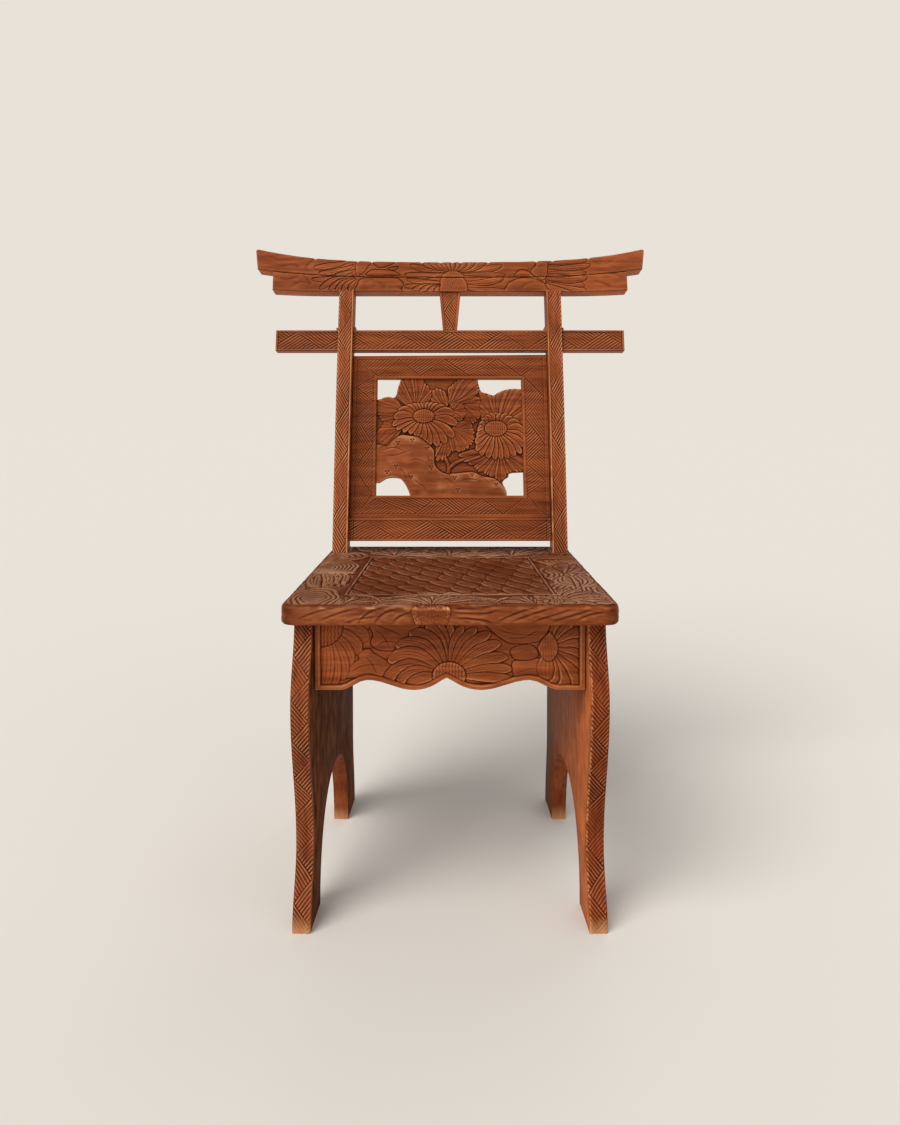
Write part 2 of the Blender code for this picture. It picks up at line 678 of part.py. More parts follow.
def make_frame(posts):
    """Four mitred members round the panel, splined at the corners and tongued to the posts."""
    matrix = frame_matrix()
    right, top = FRAME_WIDTH / 2, FRAME_HEIGHT / 2 - FIT
    bottom = -FRAME_HEIGHT / 2 + FIT
    inner_right = right - FRAME_STILE
    inner_top = top - FRAME_TOP
    inner_bottom = bottom + FRAME_BOTTOM
    ease = 1.5 * FIT
    outlines = {
        "frame_top_rail": (
            (-right + ease, top), (-inner_right + ease, inner_top),
            (inner_right - ease, inner_top), (right - ease, top),
        ),
        "frame_bottom_rail": (
            (-right + ease, bottom), (right - ease, bottom),
            (inner_right - ease, inner_bottom), (-inner_right + ease, inner_bottom),
        ),
        "frame_left_stile": (
            (-right, bottom), (-inner_right, inner_bottom), (-inner_right, inner_top), (-right, top),
        ),
        "frame_right_stile": (
            (right, bottom), (right, top), (inner_right, inner_top), (inner_right, inner_bottom),
        ),
    }
    members = {}
    for name, outline in outlines.items():
        members[name] = piece(name, board_mesh(outline, FRAME_THICK, "Y"), matrix)
    slot_size = (
        2 * (inner_right + GROOVE_DEPTH), PANEL_EDGE, inner_top - inner_bottom + 2 * GROOVE_DEPTH
    )
    slot_centre = (0.0, 0.0, (inner_top + inner_bottom) / 2)
    groove = helper("panel_groove", box_mesh(slot_size, slot_centre, grow=FIT), matrix)
    for member in members.values():
        combine(member, groove, "DIFFERENCE")
    corners = {
        "top_left": (-1, top, inner_top), "top_right": (1, top, inner_top),
        "bottom_left": (-1, bottom, inner_bottom), "bottom_right": (1, bottom, inner_bottom),
    }
    for word, (side, outer, inner) in corners.items():
        along = Vector((side * (inner_right - right), 0.0, inner - outer))
        spot = Vector((side * right, 0.0, outer)) + 0.42 * along
        turn = Matrix.Rotation(-math.atan2(along.z, along.x), 4, "Y")
        place = matrix @ Matrix.Translation(spot) @ turn @ Matrix.Rotation(math.pi / 2, 4, "Y")
        piece(f"frame_spline_{word}", box_mesh(SPLINE), place, PALE_BROWN)
        slot = helper(f"spline_slot_{word}", box_mesh(SPLINE, grow=FIT), place)
        rail, stile = word.split("_")
        combine(members[f"frame_{rail}_rail"], slot, "DIFFERENCE")
        combine(members[f"frame_{stile}_stile"], slot, "DIFFERENCE")
    for side, post in zip((-1, 1), posts):
        word = "left" if side < 0 else "right"
        for level, spot in zip(("lower", "upper"), LOOSE_TONGUE_SPOTS):
            z = spot * FRAME_HEIGHT
            height = (matrix @ Vector((0.0, 0.0, z))).z
            gap = (right + post_inner(height)) / 2
            place = matrix @ Matrix.Translation((side * gap, 0.0, z))
            piece(f"frame_tongue_{level}_{word}", box_mesh(LOOSE_TONGUE), place, PALE_BROWN)
            slot = helper(f"tongue_slot_{level}_{word}", box_mesh(LOOSE_TONGUE, grow=FIT), place)
            combine(members[f"frame_{word}_stile"], slot, "DIFFERENCE")
            combine(post, slot, "DIFFERENCE")


def make_panel():
    """The carved panel: a board with a thin edge held in the frame's grooves, open at its corners."""
    shift = (FRAME_BOTTOM - FRAME_TOP) / 2
    matrix = frame_matrix() @ Matrix.Translation((0.0, 0.0, shift))
    width = OPENING_WIDTH - 2 * FIT
    height = OPENING_HEIGHT - 4 * FIT
    panel = piece("carved_panel", box_mesh((width, PANEL_THICK, height)), matrix)
    edge = 2 * (GROOVE_DEPTH - FIT)
    board = box_mesh((width + edge, PANEL_EDGE, height + edge))
    combine(panel, helper("panel_edge", board, matrix), "UNION")
    openings = {
        "top_left": OPENING_TOP_LEFT, "top_right": OPENING_TOP_RIGHT,
        "bottom_left": OPENING_BOTTOM_LEFT, "bottom_right": OPENING_BOTTOM_RIGHT,
    }
    for word, shares in openings.items():
        outline = [(x * OPENING_WIDTH / 2, z * OPENING_HEIGHT / 2) for x, z in shares]
        cutter = helper(f"panel_opening_{word}", board_mesh(outline, 3 * PANEL_THICK, "Y"), matrix)
        combine(panel, cutter, "DIFFERENCE")
    return panel


def make_tie_beam(posts):
    rise = BACK_RISE - FIT - STRUT_HEIGHT - FIT - TIE_HEIGHT / 2
    matrix = back_frame(rise, POST_DEPTH / 2)
    size = (TIE_LENGTH, TIE_THICK, TIE_HEIGHT)
    beam = piece("tie_beam", box_mesh(size), matrix)
    chamfer(beam, POST_CHAMFER)
    passage = helper("tie_beam_mortise", box_mesh(size, grow=FIT), matrix)
    length, thick, high, low = TIE_WEDGE
    for side, post in zip((-1, 1), posts):
        word = "left" if side < 0 else "right"
        combine(post, passage, "DIFFERENCE")
        centre = POST_SPREAD - (matrix.translation.z - SEAT_HEIGHT) * math.tan(POST_BATTER)
        base = TIE_HEIGHT / 2 + FIT
        place = matrix @ Matrix.Translation((side * centre, 0.0, base))
        near, far = (high, low) if side > 0 else (low, high)
        outline = ((-length / 2, 0.0), (length / 2, 0.0), (length / 2, far), (-length / 2, near))
        piece(f"tie_wedge_{word}", board_mesh(outline, thick, "Y"), place, PALE_BROWN)
        room = (
            (-length / 2 - FIT, -2 * FIT), (length / 2 + FIT, -2 * FIT),
            (length / 2 + FIT, far + FIT), (-length / 2 - FIT, near + FIT),
        )
        cutter = helper(f"tie_wedge_room_{word}", board_mesh(room, thick + 2 * FIT, "Y"), place)
        combine(post, cutter, "DIFFERENCE")
    return beam


def make_strut(beam, lintel):
    rise = BACK_RISE - FIT - STRUT_HEIGHT / 2
    matrix = back_frame(rise, POST_DEPTH / 2)
    half = STRUT_HEIGHT / 2 - FIT
    outline = (
        (-STRUT_BOTTOM / 2, -half), (STRUT_BOTTOM / 2, -half),
        (STRUT_TOP / 2, half), (-STRUT_TOP / 2, half),
    )
    strut = piece("centre_strut", board_mesh(outline, STRUT_THICK, "Y"), matrix)
    size = (STRUT_BOTTOM * 0.6, STRUT_THICK * 0.5, 2 * STRUT_TENON)
    tenon(strut, [beam], "strut_foot", matrix, size, (0.0, 0.0, -half))
    tenon(strut, [lintel], "strut_top", matrix, size, (0.0, 0.0, half))
    return strut


def lintel_curve(x, rise):
    return rise * (abs(x) / (TOP_LINTEL_LENGTH / 2)) ** CURVE_POWER


def spread(half, steps):
    return [half * (2 * step / steps - 1) for step in range(steps + 1)]


def make_lintels():
    """The two stacked lintels: the upper one is longer, and both sweep up to their ends."""
    low_half = LOWER_LINTEL_LENGTH / 2
    flat = POST_SPREAD + POST_WIDTH
    bottom = []
    for x in spread(low_half, 28):
        past = max(0.0, abs(x) - flat) / (low_half - flat)
        bottom.append((x, UNDERSIDE_RISE * past**2))
    seam = [
        (x, LOWER_LINTEL_HEIGHT + lintel_curve(x, SEAM_RISE)) for x in spread(low_half, 28)
    ]
    matrix = back_frame(BACK_RISE, POST_DEPTH / 2)
    lower_mesh = board_mesh(bottom + seam[::-1], LOWER_LINTEL_DEPTH, "Y")
    lower = piece("lower_lintel", lower_mesh, matrix)
    chamfer(lower, POST_CHAMFER)
    half = TOP_LINTEL_LENGTH / 2
    under = [
        (x, LOWER_LINTEL_HEIGHT + FIT + lintel_curve(x, SEAM_RISE))
        for x in spread(half - HORN_SLANT, 32)
    ]
    crest = LOWER_LINTEL_HEIGHT + FIT + TOP_LINTEL_HEIGHT
    over = [(x, crest + lintel_curve(x, HORN_RISE)) for x in spread(half, 32)]
    top_mesh = board_mesh(under + over[::-1], TOP_LINTEL_DEPTH, "Y")
    top = piece("top_lintel", top_mesh, matrix)
    chamfer(top, POST_CHAMFER)
    for side in (-1, 1):
        word = "left" if side < 0 else "right"
        place = matrix @ Matrix.Translation((side * DOWEL_SPREAD, 0.0, LOWER_LINTEL_HEIGHT))
        dowel = rod_mesh(DOWEL_RADIUS, DOWEL_LENGTH)
        piece(f"lintel_dowel_{word}", dowel, place, PALE_BROWN)
        bore = helper(f"dowel_bore_{word}", rod_mesh(DOWEL_RADIUS, DOWEL_LENGTH, FIT), place)
        combine(lower, bore, "DIFFERENCE")
        combine(top, bore, "DIFFERENCE")
    return lower, top


def centre_on_origin():
    """Moves the chair so that the origin lies under the middle of its box."""
    bpy.context.view_layer.update()
    graph = bpy.context.evaluated_depsgraph_get()
    low, high = math.inf, -math.inf
    for obj in CHAIR.objects:
        if obj.type != "MESH":
            continue
        shape = obj.evaluated_get(graph)
        mesh = shape.to_mesh()
        for vertex in mesh.vertices:
            y = (shape.matrix_world @ vertex.co).y
            low, high = min(low, y), max(high, y)
        shape.to_mesh_clear()
    ROOT.location.y = -(low + high) / 2
    bpy.context.view_layer.update()


def main():
    seat = make_seat()
    slabs = [make_slab(side, seat) for side in (-1, 1)]
    make_apron(slabs)
    make_rear_rail(slabs)
    lintels = make_lintels()
    posts = [make_post(side, seat, lintels) for side in (-1, 1)]
    make_lower_rail(posts)
    make_frame(posts)
    make_panel()
    beam = make_tie_beam(posts)
    make_strut(beam, lintels[0])
    centre_on_origin()


main()
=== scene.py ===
"""Looks of the carved side chair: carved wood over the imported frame, with floor, light and camera.

Carving is worked out in millimetres. A face has x across, z up and a height h towards the viewer, and
it goes to its place in the chair with the same sizes as the solids. The chair's own frame starts at the
toes of the side slabs and at the floor.
"""

import math

import bpy
import numpy as np
from mathutils import Matrix, Vector
from mathutils.geometry import delaunay_2d_cdt


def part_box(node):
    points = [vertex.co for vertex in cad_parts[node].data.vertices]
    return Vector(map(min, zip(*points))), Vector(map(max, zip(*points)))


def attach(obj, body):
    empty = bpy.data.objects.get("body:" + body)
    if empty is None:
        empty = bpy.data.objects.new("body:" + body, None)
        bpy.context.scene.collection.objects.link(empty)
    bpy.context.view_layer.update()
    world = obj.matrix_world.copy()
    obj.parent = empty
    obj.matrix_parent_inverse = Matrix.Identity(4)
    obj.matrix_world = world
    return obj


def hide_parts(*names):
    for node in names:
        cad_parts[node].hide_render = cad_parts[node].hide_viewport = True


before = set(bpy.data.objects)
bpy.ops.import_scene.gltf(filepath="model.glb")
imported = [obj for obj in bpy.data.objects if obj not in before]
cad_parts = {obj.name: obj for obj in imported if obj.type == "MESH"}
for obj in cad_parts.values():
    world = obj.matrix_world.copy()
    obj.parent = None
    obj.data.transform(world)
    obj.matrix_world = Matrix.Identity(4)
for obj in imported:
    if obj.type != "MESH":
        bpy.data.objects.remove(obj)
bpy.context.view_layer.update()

# Sizes in millimetres and degrees, nearly all shared with the solids
FIT = 0.3
SEAT_HEIGHT, SEAT_THICK, SEAT_DEPTH, SEAT_WIDTH = 407.0, 26.0, 416.0, 412.0
SEAT_TAPER, SEAT_NOSE, SEAT_CORNER = 12.0, 20.0, 19.0
SLAB_THICK, SLAB_HEIGHT, SLAB_DEPTH, SLAB_SPREAD, SLAB_TOE_IN = 22.5, 380.7, 345.0, 170.6, 2.34
SLAB_FRONT = ((0, 0), (.255, 22), (.740, -10), (1, 11))
SLAB_REAR = ((0, 0), (.32, -17), (1, -23))
FRONT_FOOT, REAR_FOOT, ARCH_HEIGHT, ARCH_POWER = 63.0, 66.0, 137.0, 2.2
APRON_FRONT, APRON_THICK, APRON_HEIGHT, APRON_CUSP = 17.0, 20.0, 89.0, -4.2
APRON_EDGE = (
    (0, .172), (.018, .154), (.038, .134), (.062, .106), (.091, .074), (.12, .047), (.156, .024),
    (.20, .007), (.25, 0), (.29, .006), (.34, .022), (.42, .068), (.50, .115), (.56, .136), (.60, .140),
    (.65, .118), (.70, .070), (.745, .025), (.79, 0), (1, 0))
POST_WIDTH, POST_DEPTH, POST_SPREAD, POST_FRONT, POST_BATTER = 25.0, 34.0, 179.8, 332.8, 0.5
RAKE_FOOT, RAKE_TOP, BACK_RISE, REAR_INSET = 5.0, 10.0, 439.6, 2.0
LOWER_GAP, LOWER_HEIGHT, LOWER_THICK = 18.5, 37.4, 18.0
FRAME_HEIGHT, FRAME_WIDTH, FRAME_THICK = 277.8, 325.97, 16.0
FRAME_TOP, FRAME_BOTTOM, FRAME_STILE = 44.2, 37.0, 42.5
PANEL_THICK = 10.0
TIE_HEIGHT, TIE_LENGTH, TIE_THICK = 35.5, 590.0, 20.0
STRUT_HEIGHT, STRUT_TOP, STRUT_BOTTOM, STRUT_THICK = 66.5, 35.6, 23.6, 18.0
LOWER_LINTEL_LENGTH, LOWER_LINTEL_HEIGHT, LOWER_LINTEL_DEPTH = 606.0, 25.0, 29.0
TOP_LINTEL_LENGTH, TOP_LINTEL_HEIGHT, TOP_LINTEL_DEPTH = 667.0, 27.0, 32.0
SEAM_RISE, HORN_RISE, CURVE_POWER, HORN_SLANT, UNDERSIDE_RISE = 15.5, 23.8, 3.4, 4.0, 3.0
BACK_RADIUS = BACK_RISE / math.radians(RAKE_TOP - RAKE_FOOT)
TOE_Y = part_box("seat_board")[0][1] * 1000 + SEAT_NOSE
SIDES = ((-1, "left"), (1, "right"))
ENDLESS = 1e6


# Placing

def move(x=0.0, y=0.0, z=0.0):
    return Matrix.Translation((x, y, z))


def turn(degrees, axis):
    return Matrix.Rotation(math.radians(degrees), 4, axis)


def placed(matrix):
    """Function that carries face points (x across, y into the wood, z up) by a matrix."""
    rows = np.array(matrix)[:3]

    def place(x, y, z):
        return np.stack([row[0] * x + row[1] * y + row[2] * z + row[3] for row in rows], -1)
    return place


def back_frame(rise, setback):
    """Matrix of the back's curved plane at a distance up the rake from the seat."""
    tilt = RAKE_FOOT + (RAKE_TOP - RAKE_FOOT) * rise / BACK_RISE
    start, angle = math.radians(RAKE_FOOT), math.radians(tilt)
    y = POST_FRONT + BACK_RADIUS * (math.cos(start) - math.cos(angle))
    z = SEAT_HEIGHT + BACK_RADIUS * (math.sin(angle) - math.sin(start))
    return move(0, y, z) @ turn(-tilt, "X") @ move(0, setback, 0)


def on_back(rise, thick):
    """Place of the front face of a piece that is centred in the posts' depth."""
    return placed(back_frame(rise, POST_DEPTH / 2) @ move(0, -thick / 2, 0))


# Face grids and smooth numbers

def steps(low, high, size):
    return np.linspace(low, high, max(2, int(round((high - low) / size)) + 1))


def face(xs, zs):
    return np.meshgrid(xs, zs)


def unit(value):
    return np.clip(value, 0, 1)


def ease(value):
    value = unit(value)
    return value * value * (3 - 2 * value)


def dome(part):
    """Height of a half round at a share of its radius."""
    return np.sqrt(unit(1 - part * part))


def blend(points, share):
    """Value of a cosine-eased line through (share, value) points."""
    share = np.asarray(share, float)
    value = np.full(share.shape, float(points[-1][1]))
    for (low, start), (high, stop) in reversed(list(zip(points, points[1:]))):
        part = unit((share - low) / (high - low))
        value = np.where(share <= high, start + (stop - start) * (1 - np.cos(np.pi * part)) / 2, value)
    return value


def dice(i, k, seed):
    """Steady pseudo-random share for whole numbers i and k."""
    value = np.sin(i * 127.1 + k * 311.7 + seed * 74.7) * 43758.5453
    return value - np.floor(value)


def ripple(x, z, size, seed):
    """Smooth hand-made unevenness between -1 and 1."""
    u, v = x / size, z / size
    i, k = np.floor(u), np.floor(v)
    fu, fv = ease(u - i), ease(v - k)
    low = dice(i, k, seed) * (1 - fu) + dice(i + 1, k, seed) * fu
    high = dice(i, k + 1, seed) * (1 - fu) + dice(i + 1, k + 1, seed) * fu
    return (low * (1 - fv) + high * fv) * 2 - 1


def dots(x, z, size, seed):
    """Distance to the nearest punch mark, in marks' spacing."""
    i, k = np.floor(x / size), np.floor(z / size)
    nearest = np.full(x.shape, 9.0)
    for di in (-1, 0, 1):
        for dk in (-1, 0, 1):
            px = i + di + 0.2 + 0.6 * dice(i + di, k + dk, seed)
            pz = k + dk + 0.2 + 0.6 * dice(i + di, k + dk, seed + 1)
            nearest = np.minimum(nearest, np.hypot(x / size - px, z / size - pz))
    return nearest


def soften(distance, radius):
    """Drop of a rounded arris at a distance from the edge."""
    short = np.clip(radius - distance, 0, radius)
    return radius - np.sqrt(np.maximum(radius * radius - short * short, 0))


def smooth_line(points, cuts=5, closed=False):
    """Catmull-Rom line through points."""
    pts = np.asarray(points, float)
    ahead = np.roll(pts, -1, 0) if closed else np.vstack([pts[1:], 2 * pts[-1:] - pts[-2:-1]])
    behind = np.roll(pts, 1, 0) if closed else np.vstack([2 * pts[:1] - pts[1:2], pts[:-1]])
    after = np.roll(pts, -2, 0) if closed else np.vstack([ahead[1:], ahead[-1:]])
    out = []
    for n in range(len(pts) if closed else len(pts) - 1):
        a, b, c, d = behind[n], pts[n], ahead[n], after[n]
        for t in np.arange(cuts) / cuts:
            out.append(0.5 * (2 * b + (c - a) * t + (2 * a - 5 * b + 4 * c - d) * t ** 2
                              + (3 * b - a - 3 * c + d) * t ** 3))
    if not closed:
        out.append(pts[-1])
    return np.array(out)


def line_distance(x, z, points):
    """Distance to a line through points, and the share of its length."""
    best = np.full(x.shape, 1e9)
    share = np.zeros(x.shape)
    pts = np.asarray(points, float)
    lengths = np.hypot(*(pts[1:] - pts[:-1]).T)
    total, done = max(lengths.sum(), 1e-9), 0.0
    for (ax, az), (bx, bz), length in zip(pts[:-1], pts[1:], lengths):
        t = unit(((x - ax) * (bx - ax) + (z - az) * (bz - az)) / max(length * length, 1e-9))
        far = np.hypot(x - ax - t * (bx - ax), z - az - t * (bz - az))
        share = np.where(far < best, (done + t * length) / total, share)
        best = np.minimum(best, far)
        done += length
    return best, share


def inside_distance(x, z, outline):
    """Distance to a closed outline, positive inside it."""
    pts = np.asarray(outline, float)
    far, _ = line_distance(x, z, np.vstack([pts, pts[:1]]))
    inside = np.zeros(x.shape, bool)
    for (ax, az), (bx, bz) in zip(pts, np.roll(pts, -1, 0)):
        if az != bz:
            crosses = (az > z) != (bz > z)
            inside ^= crosses & (x < ax + (bx - ax) * (z - az) / (bz - az))
    return np.where(inside, far, -far)


# Carving

class Carving:
    """Heights over one face."""

    EDGE_SOFT = 0.6

    def __init__(self, x, z, ground=0.0):
        self.x, self.z = x, z
        self.h = np.full(x.shape, float(ground))

    def lay(self, cover, height):
        self.h = self.h + (height - self.h) * unit(cover)

    def cut(self, distance, width, depth, where=1.0):
        self.h = self.h - depth * where * unit(1 - np.abs(distance) / width)

    def raised(self, edge, height, width, depth, cover=0.5, near=0.5):
        """Form whose edge distance is positive inside, with a groove round it."""
        self.lay(edge / self.EDGE_SOFT + cover, height)
        self.cut(edge, width, depth, edge < near)

    def groove(self, points, width, depth):
        """Groove along a line, shallower at both ends."""
        far, share = line_distance(self.x, self.z, smooth_line(points))
        self.cut(far, width, depth, unit(np.minimum(share, 1 - share) * 5))

    def rod(self, points, radius, level, rise, soft, cover=0.4):
        """Half-round stem along a line."""
        far, _ = line_distance(self.x, self.z, smooth_line(points))
        self.lay((radius - far) / soft + cover, level + rise * dome(far / radius))
        return far

    def stipple(self, size, depth, seed, where=1.0):
        self.h = self.h - depth * where * unit(1.25 - dots(self.x, self.z, size, seed) * 2.2)

    def petal(self, base, tip, width, level, rise, bend=0.0, veins=2, tilt=0.0, point=7.0, foot=0.42,
              line=0.22, hollow=0.0):
        """One petal from base to tip. A tilt lifts its left side, a low point gives a sharper tip, and a
        hollow petal has raised rims."""
        ax, az = tip[0] - base[0], tip[1] - base[1]
        length = math.hypot(ax, az)
        ux, uz = ax / length, az / length
        dx, dz = self.x - base[0], self.z - base[1]
        t = (dx * ux + dz * uz) / length
        on = unit(t)
        side = dz * ux - dx * uz - bend * 4 * on * (1 - on)
        half = width / 2 * (foot + (1 - foot) * ease(on * 1.6)) * np.sqrt(np.maximum(1 - on ** point, 0))
        half = np.maximum(half, 0.05)
        s = side / half
        edge = np.minimum((1 - np.abs(s)) * half, np.minimum(t, 1 - t) * length)
        crown = dome(s) * (1 - hollow) + hollow * np.exp(-((np.abs(s) - 0.74) / 0.2) ** 2)
        swell = 0.5 + 0.5 * np.sin(np.pi * unit(on * 0.90 + 0.04) ** 0.9)
        height = level + rise * (0.3 + 0.7 * crown) * swell + tilt * np.clip(s, -1, 1)
        for n in range(veins):
            spot = (n + 1) * 2 / (veins + 1) - 1
            vein = unit(1 - np.abs(s - spot) * half / 0.9)
            height = height - 0.26 * rise * vein * np.sin(np.pi * on) ** 0.7
        self.raised(edge, height, 1.1, line * rise)

    def fan(self, origin, rim, ribs, level, rise, sway=0.0, scallop=0.13):
        """Ribbed leaf about origin, whose outer edge goes through the rim points."""
        line = smooth_line(rim, 3)
        angles = np.unwrap(np.arctan2(line[:, 1] - origin[1], line[:, 0] - origin[0]))
        radii = np.hypot(line[:, 0] - origin[0], line[:, 1] - origin[1])
        order = np.argsort(angles)
        angles, radii = angles[order], radii[order]
        first, last = angles[0], angles[-1]
        middle = (first + last) / 2
        dx, dz = self.x - origin[0], self.z - origin[1]
        angle = middle + np.angle(np.exp(1j * (np.arctan2(dz, dx) - middle)))
        r = np.hypot(dx, dz)
        reach = np.interp(angle, angles, radii)
        share = (angle - first) / (last - first)
        part = r / np.maximum(reach, 0.1)
        phase = share * ribs + 0.28 * np.sin(2.1 * share * ribs + origin[0])
        phase = phase + sway * np.sin(3.4 * part + 6 * share + origin[0])
        s = (phase - np.floor(phase)) * 2 - 1
        tip = reach * (1 - scallop * s * s)
        edge = np.minimum(tip - r, np.minimum(angle - first, last - angle) * r)
        crown = np.sqrt(unit(1 - 0.97 * s * s))
        uneven = 0.75 + 0.25 * np.sin(np.floor(phase) * 2.4 + origin[1])
        swell = 0.55 + 0.45 * np.sin(np.pi * unit(part) ** 0.8)
        height = level + rise * (0.2 + 0.8 * crown * uneven) * swell
        fine = np.abs(np.sin(np.pi * (phase * 2 + 0.5)))
        height = height - 0.14 * rise * unit(1 - fine * 3) * unit(part * 2)
        self.raised(edge, height, 1.2, 0.3 * rise)

    def shell(self, centre, radii, ribs, pad, level, rise):
        """Smooth rounded middle with curved ribs round it."""
        r = np.hypot((self.x - centre[0]) / radii[0], (self.z - centre[1]) / radii[1])
        r = r + 0.07 * ripple(self.x, self.z, 21, 9)
        turns = ribs * unit((r - pad) / (1 - pad))
        depth = 0.68 + 0.22 * ripple(self.x, self.z, 27, 15)
        ribbed = 0.9 - depth * (1 - np.abs(np.sin(np.pi * turns)) ** 0.8)
        height = level + rise * np.where(r < pad, 0.62 + 0.38 * dome(r / pad), ribbed)
        self.raised((1 - r) * min(radii), height, 1.1, 0.2 * rise)

    def form(self, outline, level, rise, shoulder, uneven=0.0, seed=1):
        """Smooth rounded form inside an outline."""
        far = inside_distance(self.x, self.z, smooth_line(outline, 4, True))
        part = unit(far / shoulder)
        height = level + rise * dome(1 - part)
        if uneven:
            height = height + uneven * ripple(self.x, self.z, 14, seed) * part
        self.raised(far, height, 1.2, 0.4 * rise, cover=0.4)
        return far

    def cap(self, centre, radii, level, rise, pitch, rows=0.75):
        """Beaded dome in the middle of a flower."""
        dx, dz = self.x - centre[0], self.z - centre[1]
        far = np.hypot(dx / radii[0], dz / radii[1])
        lines = 1 - np.abs(np.sin(np.pi * (dx / pitch + 0.12 * np.sin(dz * 0.7)))) ** 0.7
        bars = 1 - np.abs(np.sin(np.pi * dz / (pitch * rows))) ** 0.7
        height = level + rise * np.sqrt(unit(1 - 0.9 * far * far)) - 0.9 * lines - 0.55 * bars
        self.raised((1 - far) * min(radii), height, 1.3, 1.1, cover=0.4, near=0.6)

    def daisy(self, centre, radii, tips, level, rise, beads, veins=2, cap_rise=1.6, widest=16.0, droop=0.0,
              hollow=0.0, line=0.22):
        """Flower of single petals that end at the tips, round a beaded cap, laid from the top down."""
        count = len(tips)
        spots = np.asarray(tips, float)
        gaps = np.hypot(*(spots - np.roll(spots, 1, 0)).T)
        above = spots[:, 1] - centre[1]
        for n in sorted(range(count), key=lambda n: -above[n] if above[n] > 0 else 1):
            tip = spots[n]
            ex, ez = (tip[0] - centre[0]) / radii[0], (tip[1] - centre[1]) / radii[1]
            size = math.hypot(ex, ez)
            base = (centre[0] + 0.8 * radii[0] * ex / size, centre[1] + 0.8 * radii[1] * ez / size)
            width = np.clip((gaps[n] + gaps[(n + 1) % count]) / 2 * 1.06, 6.0, widest)
            bend = 0.9 * (1 if n % 2 else -1) * (0.3 if droop else 1) + droop * ex / size
            self.petal(base, tip, width, level + 0.12 * (n % 2), rise, bend, veins,
                       tilt=0.25 * droop * hollow, hollow=hollow, line=line)
        self.cap(centre, radii, level + rise * 0.7, cap_rise, beads)


def reeds(c, along, across, half, knots, first, lean, pitch, depth, fade=1.0, towards=1):
    """Zigzag of reeded triangles: knots are the turning points along the strip, first the side (1 or -1)
    of the first one, lean which side of a triangle its reeds follow (-1 the earlier, 1 the later), and
    towards the side that the reeds' broad flanks face."""
    broad, narrow = 0.66, 0.34
    knots = np.asarray(knots, float)
    sides = first * np.where(np.arange(len(knots)) % 2 == 0, 1.0, -1.0)
    along = along + 0.7 * ripple(along, across, 21, 5)
    zig = np.interp(along, knots, sides) * half
    apex_side = np.where(across > zig, -1.0, 1.0)
    index = np.clip(np.searchsorted(knots, along) - 1, 0, len(knots) - 2)
    apex = np.where(sides[index] == apex_side, index, index + 1)
    other = np.where((apex + lean < 0) | (apex + lean >= len(knots)), apex - lean, apex + lean)
    run, climb = knots[apex] - knots[other], 2 * half * apex_side
    q = ((along - knots[apex]) * climb - (across - apex_side * half) * run) / np.hypot(run, climb)
    q = q + 0.7 * ripple(along, across, 16, 9)
    depth = depth * (0.78 + 0.34 * ripple(along, across, 23, 13))
    part = np.where(np.sign(run) == towards, q, -q) / pitch
    part = part - np.floor(part)
    total = -depth * (1 - np.minimum(part / broad, (1 - part) / narrow))
    slope = 2 * half / (knots[index + 1] - knots[index])
    total = total - depth * 0.6 * unit(1 - np.abs(across - zig) / np.hypot(1, slope) / 0.9)
    field = unit((half - np.abs(across)) / 0.5 + 0.5) * fade
    rim = unit(1 - np.abs(np.abs(across) - half) / 0.8)
    c.h = c.h + total * field - 0.5 * depth * rim


# Meshes

def blur(values, reach):
    """Box mean over a face, twice."""
    window = 2 * reach + 1
    for _ in range(2):
        for axis in (0, 1):
            before = np.repeat(values.take([0], axis), reach + 1, axis)
            after = np.repeat(values.take([-1], axis), reach, axis)
            total = np.concatenate([before, values, after], axis).cumsum(axis)
            spots = np.arange(values.shape[axis])
            values = (total.take(spots + window, axis) - total.take(spots, axis)) / window
    return values


def hollows(h, grid, gain=0.62):
    """Share that is above one half on ridges and below it in hollows."""
    small, large = 1.5, 5.0
    fine = h - blur(h, max(1, int(round(small / grid))))
    broad = h - blur(h, max(1, int(round(large / grid))))
    return unit(0.5 + gain * fine + 0.12 * broad)


def boundary(quads, count):
    """Longest closed loop of points round the kept cells, in order."""
    start = quads.ravel()
    stop = np.roll(quads, -1, 1).ravel()
    forward = start.astype(np.int64) * count + stop
    backward = stop.astype(np.int64) * count + start
    open_edge = ~np.isin(forward, backward)
    following = dict(zip(start[open_edge].tolist(), stop[open_edge].tolist()))
    loops = []
    while following:
        first = next(iter(following))
        loop, here = [first], following.pop(first)
        while here != first and here in following:
            loop.append(here)
            here = following.pop(here)
        loops.append(loop)
    return np.array(max(loops, key=len))


